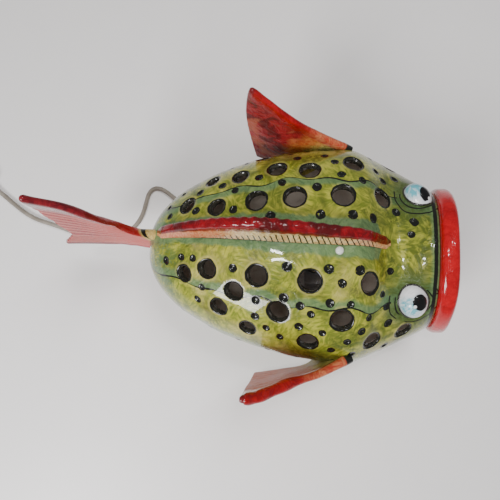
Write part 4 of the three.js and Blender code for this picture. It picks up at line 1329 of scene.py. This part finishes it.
def makeTail():
    setup = tailSettings

    def surfaceAt(u, v):
        upper = (v < 0.5)[..., None]
        edge = np.where(upper, curveThrough(setup["upper"], u), curveThrough(setup["lower"], u))
        middle = curveThrough(setup["middle"], u)
        toEdge = (np.abs(1 - 2 * v) ** 0.85)[..., None]
        flat = middle + (edge - middle) * toEdge
        swing = np.where(v < 0.5, 1.0, -2.0) * np.abs(1 - 2 * v)
        y = setup["y"] + np.sin(2.2 * np.pi * u) * swing
        y = y + 0.7 * np.sin(17 * u) * np.clip(1 - 3 * v, 0, 1)
        scallop = 1.4 * np.abs(np.sin(np.pi * 7 * v)) * smoothStep((u - 0.85) / 0.15)
        return np.stack([flat[..., 0] - scallop, y, flat[..., 1]], -1)

    def thickAt(u, v):
        upper = np.exp(-(v / 0.06) ** 2)
        lower = np.exp(-((1 - v) / 0.06) ** 2)
        lumpy = 1.15 + 0.2 * np.sin(26 * u + 1.2 * np.sin(11 * u))
        blade = 4.4 - 2.9 * smoothStep(u / 0.4)
        ripple = np.sin(2 * np.pi * setup["rays"] * v)
        rays = 0.14 * ripple * smoothStep(u * 2.5) * (1 - upper) * (1 - lower)
        return blade + 1.3 * upper * lumpy + 1.0 * lower * lumpy + rays

    def colours(tree, brush, fine):
        place = objectPlace(tree)
        along = attribute(tree, "along")
        across = attribute(tree, "across")
        wobble = calc(tree, "SUBTRACT", noiseValue(tree, place, 60.0, 4.0, 0.6, 0.4), 0.5)
        pink = twoTone(tree, fine["Stroke"], tailPaint, "pink")
        rose = twoTone(tree, brush["Stroke"], tailPaint, "rose")
        outer = nudge(tree, wobble, 0.5, along)
        colour = blendColour(tree, spread(tree, outer, 0.45, 0.9), pink, rose)
        rays = calc(tree, "PINGPONG", nudge(tree, wobble, 0.02, across), 0.5 / setup["rays"])
        ray = times(tree, fade(tree, rays, 0.004, 0.012), spread(tree, along, 0.1, 0.3, 0.0, 0.5))
        colour = blendColour(tree, ray, colour, rgb(*tailPaint["ray"]))
        root = fade(tree, nudge(tree, wobble, 0.10, along), 0.17, 0.26)
        yellow = twoTone(tree, fine["Stroke"], tailPaint, "yellow")
        colour = blendColour(tree, root, colour, yellow)
        rimPlace = nudge(tree, wobble, 0.05, across)
        upper = fade(tree, rimPlace, 0.08, 0.12)
        lower = times(tree, spread(tree, rimPlace, 0.91, 0.95), 0.9)
        rim = times(tree, calc(tree, "MAXIMUM", upper, lower), spread(tree, along, 0.17, 0.21))
        dark = blendColour(tree, spread(tree, along, 0.3, 0.85), rgb(*tailPaint["rimRoot"]),
                           rgb(*tailPaint["rimTip"]))
        dark = blendColour(tree, times(tree, brush["Stroke"], 0.35), dark, rgb(*tailPaint["rimStroke"]))
        colour = blendColour(tree, rim, colour, dark)
        dabs = calc(tree, "PINGPONG", calc(tree, "ADD", across, 0.17), 0.10)
        ends = between(tree, along, 0.125, 0.135, 0.165, 0.178)
        dab = times(tree, fade(tree, dabs, 0.030, 0.045), ends)
        return blendColour(tree, dab, colour, rgb(*tailPaint["ink"]))

    def coat(tree):
        across = attribute(tree, "across")
        rims = calc(tree, "MAXIMUM", fade(tree, across, 0.08, 0.14), spread(tree, across, 0.88, 0.94))
        return calc(tree, "MULTIPLY_ADD", rims, 0.8, 0.06)

    material = glazeMaterial("tail glaze", colours, 0.38, 0.0005, coat)
    piece = makeBlade("tail", surfaceAt, thickAt, [material], rows=110, columns=130)
    standFor(piece, "glaze_pink", "tail_fin")


makeTail()


# The eyes
headX, headTurns = np.meshgrid(np.linspace(100, 174.5, 150), np.radians(np.linspace(-40, 220, 300)))
headSkin = bodyPoint(headX, headTurns).reshape(-1, 3)
headNormal = bodyNormal(headX, headTurns).reshape(-1, 3)
headTree = KDTree(len(headSkin))
for skinNumber, skinPoint in enumerate(headSkin):
    headTree.insert(skinPoint, skinNumber)
headTree.balance()


def headDistance(p):
    nearest = headTree.find(p)[1]
    return float(np.dot(p - headSkin[nearest], headNormal[nearest]))


eyeLine = 1.7
eyePaint = {
    "whiteDark": (0.74, 0.73, 0.75), "white": (0.88, 0.87, 0.90), "blue": (0.12, 0.42, 0.50),
    "grey": (0.30, 0.38, 0.42), "pupil": (0.006, 0.006, 0.007), "glint": (0.80, 0.78, 0.78),
}


def onEye(setup, way, grow=1.0):
    # the point of the eyeball that looks the given way
    turn = Matrix.Rotation(math.radians(setup["turn"]), 3, "Z")
    reach = Vector((np.asarray(way) * np.array(setup["size"])).tolist())
    return np.array(setup["centre"]) + grow * np.array(turn @ reach)


def makeEye(name, setup):
    rows, sides = 40, 64
    pupil = unit(np.array(setup["pupilWay"]))
    glint = unit(np.array(setup["glintWay"]))
    blueWay = unit(np.array(setup["blueWay"]))
    wide, tall = setup["pupilSize"]
    reach = float(np.mean(setup["size"]))
    ahead = unit(np.cross(np.array([0.0, 1.0, 0.0]), pupil))
    beside = np.cross(pupil, ahead)
    fields = {"pupilGap": [], "glintGap": [], "blueGap": []}
    rings = []
    for i in range(1, rows):
        tilt = math.pi * i / rows
        ring = []
        for k in range(sides):
            a = 2 * math.pi * k / sides
            way = (math.sin(tilt) * math.cos(a), math.sin(tilt) * math.sin(a), math.cos(tilt))
            p = onEye(setup, way)
            ring.append(p)
            flat = unit(p - np.array(setup["centre"]))
            share = math.hypot(np.dot(flat, ahead) * reach / wide, np.dot(flat, beside) * reach / tall)
            fields["pupilGap"].append((share - 1) * wide if np.dot(flat, pupil) > 0 else 20.0)
            fields["glintGap"].append(np.linalg.norm(flat - glint) * reach)
            fields["blueGap"].append(np.linalg.norm(flat - blueWay) * reach)
        rings.append(ring)

    def colours(tree, brush, fine):
        place = objectPlace(tree)
        wobble = calc(tree, "SUBTRACT", noiseValue(tree, place, 240.0, 3.0), 0.5)
        white = twoTone(tree, fine["Stroke"], eyePaint, "white")
        blueReach = nudge(tree, wobble, 7.0, attribute(tree, "blueGap"))
        blue = times(tree, fade(tree, blueReach, 5.0, 12.5),
                    spread(tree, brush["Stroke"], 0.1, 0.7, 0.45, 1.0))
        colour = blendColour(tree, blue, white, rgb(*eyePaint["blue"]))
        pupilReach = nudge(tree, wobble, 1.6, attribute(tree, "pupilGap"))
        grey = spread(tree, pupilReach, 0.2, 2.2, 0.30, 0.0)
        colour = blendColour(tree, grey, colour, rgb(*eyePaint["grey"]))
        black = fade(tree, pupilReach, -0.3, 0.15)
        colour = blendColour(tree, black, colour, rgb(*eyePaint["pupil"]))
        spot = fade(tree, attribute(tree, "glintGap"), 1.2, 1.7)
        return blendColour(tree, spot, colour, rgb(*eyePaint["glint"]))

    material = glazeMaterial(name.replace("_", " ") + " glaze", colours, 0.2, 0.0002)
    piece = makeRings(name, rings, [material], attributes=fields, sharp=80)
    standFor(piece, "glaze_white", name)
    outlineEye(name, setup)


def outlineEye(name, setup):
    # the black line round the eye, a raised thread of glaze where the ball meets the head
    outward = unit(np.array([-0.15, 0.62 if setup["centre"][1] > 0 else -0.62, 0.77]))
    first = unit(np.cross(outward, np.array([1.0, 0.0, 0.0])))
    second = np.cross(outward, first)
    points = []
    for k in range(72):
        a = 2 * math.pi * k / 72
        tried = []
        for tilt in np.linspace(0.25, 2.9, 110):
            way = outward * math.cos(tilt) + (first * math.cos(a) + second * math.sin(a)) * math.sin(tilt)
            p = onEye(setup, way, 1.035)
            tried.append((abs(headDistance(p)), tuple(p)))
        points.append(min(tried)[1])
    line = makeTube(name + "_line", points, eyeLine, blackRim, 3, closed=True)


for eyeName, eyeSetup in eyeShapes.items():
    makeEye(eyeName, eyeSetup)


# What holds the lamp together, and what is on the cord
print("hardware")

finishes = {
    "black rubber": {"dark": (0.020, 0.020, 0.021), "light": (0.040, 0.040, 0.041), "rough": (0.70, 0.88),
                     "grain": 900.0, "relief": 0.0002},
    "zinc plate": {"dark": (0.50, 0.52, 0.55), "light": (0.70, 0.71, 0.73), "rough": (0.26, 0.44),
                   "grain": 700.0, "relief": 0.00005, "metallic": 1.0},
    "brass": {"dark": (0.60, 0.40, 0.15), "light": (0.80, 0.58, 0.26), "rough": (0.20, 0.38),
              "grain": 600.0, "relief": 0.00004, "metallic": 1.0},
    "black plastic": {"dark": (0.010, 0.010, 0.011), "light": (0.020, 0.020, 0.021), "rough": (0.36, 0.50),
                      "grain": 1500.0, "relief": 0.0001},
    "porcelain": {"dark": (0.68, 0.66, 0.60), "light": (0.80, 0.78, 0.73), "rough": (0.30, 0.46),
                  "grain": 500.0, "relief": 0.0001},
    "grey plastic": {"dark": (0.36, 0.345, 0.32), "light": (0.44, 0.42, 0.395), "rough": (0.36, 0.52),
                     "grain": 1300.0, "relief": 0.0001},
    "yellow phosphor": {"dark": (0.60, 0.40, 0.05), "light": (0.76, 0.56, 0.13), "rough": (0.45, 0.62),
                        "grain": 800.0, "relief": 0.0001},
}


def plainFinish(name):
    setup = finishes[name]
    material, tree, shader = newMaterial(name, Metallic=setup.get("metallic", 0.0))
    place = objectPlace(tree)
    handled = noiseValue(tree, place, 110.0, 4.0)
    worn = spread(tree, handled, 0.32, 0.68)
    colour = blendColour(tree, worn, rgb(*setup["dark"]), rgb(*setup["light"]))
    link(tree, colour, shader, "Base Color")
    smooth, dull = setup["rough"]
    link(tree, spread(tree, handled, 0.3, 0.7, dull, smooth), shader, "Roughness")
    bump(tree, noiseValue(tree, place, setup["grain"], 3.0), setup["relief"], shader)
    return material


def clearGlass():
    material, tree, shader = newMaterial("bulb glass", IOR=1.45, Transmission_Weight=1.0, Metallic=0.0)
    place = objectPlace(tree)
    dust = noiseValue(tree, place, 140.0, 4.0)
    colour = blendColour(tree, dust, rgb(0.97, 0.97, 0.95), rgb(1.0, 0.99, 0.98))
    link(tree, colour, shader, "Base Color")
    link(tree, spread(tree, dust, 0.4, 0.7, 0.015, 0.07), shader, "Roughness")
    bump(tree, noiseValue(tree, place, 60.0, 2.0), 0.0001, shader)
    return material


finish = {name: plainFinish(name) for name in finishes}
glass = clearGlass()


def repaint(material, *nodes):
    # these pieces keep their own shape
    for node in nodes:
        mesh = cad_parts[node].data
        for k in range(len(mesh.materials)):
            mesh.materials[k] = material


def makeFootPads():
    profile = [(0, 0), (4.9, 0), (5.5, 0.7), (5.5, 2.7), (0, 2.7)]
    for label, angle in (("front_left", 35), ("rear_left", 145), ("rear_right", 215), ("front_right", 325)):
        a = math.radians(angle)
        middle = (bulbAxis[0] + 50 * math.cos(a), 44 * math.sin(a), 0.0)
        pad = turnedPiece("pad_" + label, profile, middle, [finish["black rubber"]])
        standFor(pad, "rubber", "foot_pad_" + label)


def makeScrews():
    profile = [(0, 1.5), (0.5, 1.5), (0.7, 0.7), (3.2, 0.7), (3.6, 1.3), (3.6, 2.7), (2, 2.7), (2, 18.6),
               (1.6, 19), (0, 19)]
    for label, y in (("left", 47.0), ("right", -47.0)):
        middle = (bulbAxis[0], y, 0.0)
        screw = turnedPiece("screw_" + label, profile, middle, [finish["zinc plate"]], radius=0.15)
        standFor(screw, "steel", "bridge_screw_" + label)
    repaint(finish["zinc plate"], "steel_bridge", "bridge_nut_left", "bridge_nut_right", "nipple_nut_lower",
            "nipple_nut_upper")


def threadProfile(inner, outer, bottom, top, pitch, depth):
    points = [(inner, bottom), (outer - depth, bottom)]
    z = bottom + pitch / 2
    while z < top - pitch / 2:
        points += [(outer, z), (outer - depth, z + pitch / 2)]
        z += pitch
    return points + [(outer - depth, top), (inner, top), (inner, bottom)]


bulbPitch = 2.82
holderProfiles = {
    "holder_cap": [(5.3, 29.2), (13.5, 29.2), (14, 30), (14, 40), (12.2, 40), (12.2, 31.4), (5.3, 31.4),
                   (5.3, 29.2)],
    "holder_sleeve": [(10, 40.3), (14, 40.3), (14, 58), (15.5, 58.6), (15.5, 60.2), (10, 60.2), (10, 40.3)],
    "contact_block": [(0, 36.4), (9, 36.4), (9, 40.2), (3, 40.2), (2.6, 39.8), (0, 39.8)],
    "centre_contact": [(0, 40.5), (2, 40.5), (2, 41.2), (1.2, 41.6), (0, 41.6)],
}


def holderRibs(angle, height):
    # 24 grip ribs on the cap and on the sleeve, with smooth bands above and below them
    ribbed = 31 < height < 39.5 or 42 < height < 56
    return 0.25 * math.cos(24 * angle) if ribbed else 0.0


def makeHolder():
    thread = threadProfile(3.4, 5.0, 19, 36, 1.0, 0.3)
    nipple = turnedPiece("nipple", thread, bulbAxis, [finish["zinc plate"]], radius=0.1)
    standFor(nipple, "steel", "threaded_nipple")
    looks = {"holder_cap": "black plastic", "holder_sleeve": "black plastic", "contact_block": "porcelain",
             "centre_contact": "brass"}
    for node, look in looks.items():
        ribbed = look == "black plastic"
        piece = turnedPiece(node + "_fine", holderProfiles[node], bulbAxis, [finish[look]],
                            sides=120 if ribbed else 40, radius=0.3, wave=holderRibs if ribbed else None)
        standFor(piece, look.replace(" ", "_"), node)
    thread = threadProfile(7.4, 8.0, 42, 57, bulbPitch, 0.35)
    shell = turnedPiece("shell", thread, bulbAxis, [finish["brass"]], radius=0.4)
    standFor(shell, "brass", "thread_shell")


def makeBulb():
    cap = [(0, 42), (2.6, 42), (4, 43.4), (6.6, 44.6)]
    z = 45.4
    while z < 60:
        cap += [(6.3, z), (6.9, z + 1.4)]
        z += bulbPitch
    cap += [(6.6, 60.4), (0, 60.4)]
    piece = turnedPiece("cap", cap, bulbAxis, [finish["brass"]], body="bulb", radius=0.5)
    standFor(piece, "brass", "bulb_cap")
    outside = [(6.4, 61.0), (7.2, 61.0), (7.6, 63.5), (9, 66)]
    inside = []
    for k in range(25):
        a = math.radians(-52 + 142 * k / 24)
        outside.append((max(22.5 * math.cos(a), 0.0), 91 + 22.5 * math.sin(a)))
        inside.append((max(21.6 * math.cos(a), 0.0), 91 + 21.6 * math.sin(a)))
    profile = outside + inside[::-1] + [(8.1, 66), (6.8, 63.5), (6.4, 61.4), (6.4, 61.0)]
    globe = turnedPiece("globe", profile, bulbAxis, [glass], body="bulb", radius=0.1, sides=72)
    standFor(globe, "clear_glass", "bulb_globe")
    stem = [(0, 60.8), (4.6, 60.8), (4.2, 68), (1.6, 74), (1.6, 103), (0, 103.6)]
    piece = turnedPiece("stem", stem, bulbAxis, [glass], body="bulb", radius=1.2, sides=32)
    standFor(piece, "clear_glass", "filament_stem")
    rod = [(0, -14), (0.9, -14), (1.1, -13.6), (1.1, 13.6), (0.9, 14), (0, 14)]
    for k in range(4):
        a = math.radians(45 + 90 * k)
        tilt = math.radians(16)
        way = (math.cos(a) * math.sin(tilt), math.sin(a) * math.sin(tilt), math.cos(tilt))
        low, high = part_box("filament_%d" % (k + 1))
        middle = [(low[j] + high[j]) / 2 / mm - fishShift[j] for j in range(3)]
        lean = 1 if filamentLeansOut(k + 1, a) else -1
        way = (way[0] * lean, way[1] * lean, way[2])
        piece = turnedPiece("rod_%d" % (k + 1), rod, middle, [finish["yellow phosphor"]], body="bulb",
                            way=way, sides=20, radius=0.2)
        standFor(piece, "filament", "filament_%d" % (k + 1))


def filamentLeansOut(number, angle):
    # which way the top of the rod leans, from its own corners
    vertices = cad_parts["filament_%d" % number].data.vertices
    top = max(vertices, key=lambda v: v.co.z).co
    low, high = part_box("filament_%d" % number)
    return (top.x - (low[0] + high[0]) / 2) * math.cos(angle) > 0


def makeInnerLead():
    run = [(73, 0, 35), (73, 0, 25), (72.9, 0, 18.6), (70, 0.4, 12.8), (62, 1.2, 9.9), (50, 3, 11.6),
           (36, 6, 16.8), (14, 12, 20), (-12, 20, 26), (-32, 29, 38), (-44, 34, 50), cordExitPoint(-16),
           cordExitPoint(-12.6)]
    standFor(makeTube("lead_inside", run, 4.6, greyCord), "cord_grey", "inner_lead")


def makeStrainRelief():
    profile = [(2.8, -12.3), (7, -12.3), (7, -9.4), (5.1, -9.2), (5.1, 3), (7.4, 3.2), (7.2, 6)]
    for k in range(6):
        # soft ribs along the tapered sleeve
        h = 7.4 + 2.7 * k
        r = 5.7 - 0.34 * k
        profile += [(r, h), (r, h + 1.3), (r - 0.9, h + 1.5), (r - 0.9, h + 2.4)]
    profile += [(3.6, 24), (2.8, 24), (2.8, -12.3)]
    sleeve = turnedPiece("cord_sleeve", profile, cordExitPoint(0), [finish["grey plastic"]],
                         way=cordSettings["way"], radius=0.3, sides=48)
    standFor(sleeve, "cord_grey", "strain_relief")


def makeBox(name, outline, bottom, top, materials, place, bevel):
    # a plate with rounded edges: rings of its outline, drawn in at both faces
    outline = np.asarray(outline, float)
    centre = outline.mean(0)
    rings = []
    levels = [(bottom, bevel), (bottom + bevel * 0.3, bevel * 0.3), (bottom + bevel, 0.0),
              (top - bevel, 0.0), (top - bevel * 0.3, bevel * 0.3), (top, bevel)]
    reach = np.linalg.norm(outline - centre, axis=1, keepdims=True)
    for z, inset in levels:
        flat = centre + (outline - centre) * (1 - inset / reach)
        rings.append([place(x, y, z) for x, y in flat])
    return makeRings(name, rings, materials, sharp=50)


def roundedOutline(length, width, corner, steps=10):
    points = []
    for cx, cy, start in ((1, 1, 0), (-1, 1, 90), (-1, -1, 180), (1, -1, 270)):
        for k in range(steps + 1):
            a = math.radians(start + 90 * k / steps)
            points.append((cx * (length / 2 - corner) + corner * math.cos(a),
                           cy * (width / 2 - corner) + corner * math.sin(a)))
    return points


def switchPlace(x, y, z):
    way = unit(np.array(cordSettings["switchWay"]))
    middle = np.array(cordSettings["switchStart"]) + way * (cordSettings["switchLength"] / 2 + 0.4)
    flat = middle + way * x + np.array([-way[1], way[0]]) * y
    return (flat[0], flat[1], z)


def makeSwitch():
    outline = roundedOutline(cordSettings["switchLength"], 20, 8)
    grey = finish["grey plastic"]
    # the upper half has a well for the rocker: rings run up the outside, in, and down the well
    well = np.array([(a * 9.2, b * 4.9) for a, b in squareWalk(len(outline))])
    outer = np.asarray(outline, float)
    size = np.linalg.norm(outer, axis=1, keepdims=True)
    rings = []
    for z, inset in ((5.65, 0.2), (6.0, 0.0), (11.2, 0.0), (12.4, 0.45), (13.0, 1.7)):
        rings.append([switchPlace(x, y, z) for x, y in outer * (1 - inset / size)])
    for z, grow in ((13.0, 1.04), (12.7, 1.0), (7.1, 1.0)):
        rings.append([switchPlace(x, y, z) for x, y in well * grow])
    upper = makeRings("switch_cover", rings, [grey], sharp=40)
    standFor(upper, "cord_grey", "switch_upper_half")
    key = [(-8, 0.6), (0, -3.4), (8, 0.6), (8, 3.2), (4, 2.2), (0, 1.6), (-4, 2.2), (-8, 3.2)]
    lean = math.radians(8)
    rings = []
    for y, shrink in ((-4.5, 0.94), (-4.2, 1.0), (4.2, 1.0), (4.5, 0.94)):
        ring = []
        for x, z in key:
            x, z = x * shrink, z * shrink
            turned = (x * math.cos(lean) - z * math.sin(lean), x * math.sin(lean) + z * math.cos(lean))
            ring.append(switchPlace(turned[0], y, 11 + turned[1]))
        rings.append(ring)
    rocker = makeRings("rocker", rings, [finish["black plastic"]], body="switch_rocker", sharp=30)
    standFor(rocker, "black_plastic", "switch_rocker")
    repaint(grey, "switch_lower_half")
    repaint(finish["zinc plate"], "switch_screw_1", "switch_screw_2")
    repaint(finish["black rubber"], "coil_tie")


def squareWalk(count):
    # points round a square of half side one, starting on the right and going left round
    walk = []
    for k in range(count):
        a = 2 * math.pi * (k + 0.5) / count
        c, s = math.cos(a), math.sin(a)
        reach = max(abs(c), abs(s))
        walk.append((c / reach, s / reach))
    return walk


def makePlug():
    x0, y0, z0 = cordSettings["plugFace"]
    side = [(0, 3.6), (-5, 4.0), (-9, 4.6), (-12.5, 6.4), (-15, 9.0), (-19, 11), (-27, 12), (-35, 13)]
    outline = side + [(x, -y) for x, y in side[::-1]]

    def place(x, y, z):
        return (x0 + x, y0 + y, z)

    plug = makeBox("plug", outline, 0.2, 13.2, [finish["grey plastic"]], place, bevel=1.4)
    standFor(plug, "cord_grey", "plug_body")
    pin = [(0, 0), (2, 0), (2, 17.6), (1.3, 19), (0, 19)]
    for label, way in (("left", 1), ("right", -1)):
        middle = (x0 - 35.3, y0 + way * 9.5, 6.7)
        piece = turnedPiece("pin_" + label, pin, middle, [finish["brass"]], way=(-1, 0, 0), sides=32)
        standFor(piece, "brass", "plug_pin_" + label)


makeFootPads()
makeScrews()
makeHolder()
makeBulb()
makeInnerLead()
makeStrainRelief()
makeSwitch()
makePlug()


def declareCord():
    exitPoint = tuple(toRow(cordExitPoint(cordSettings["start"])))


declareCord()
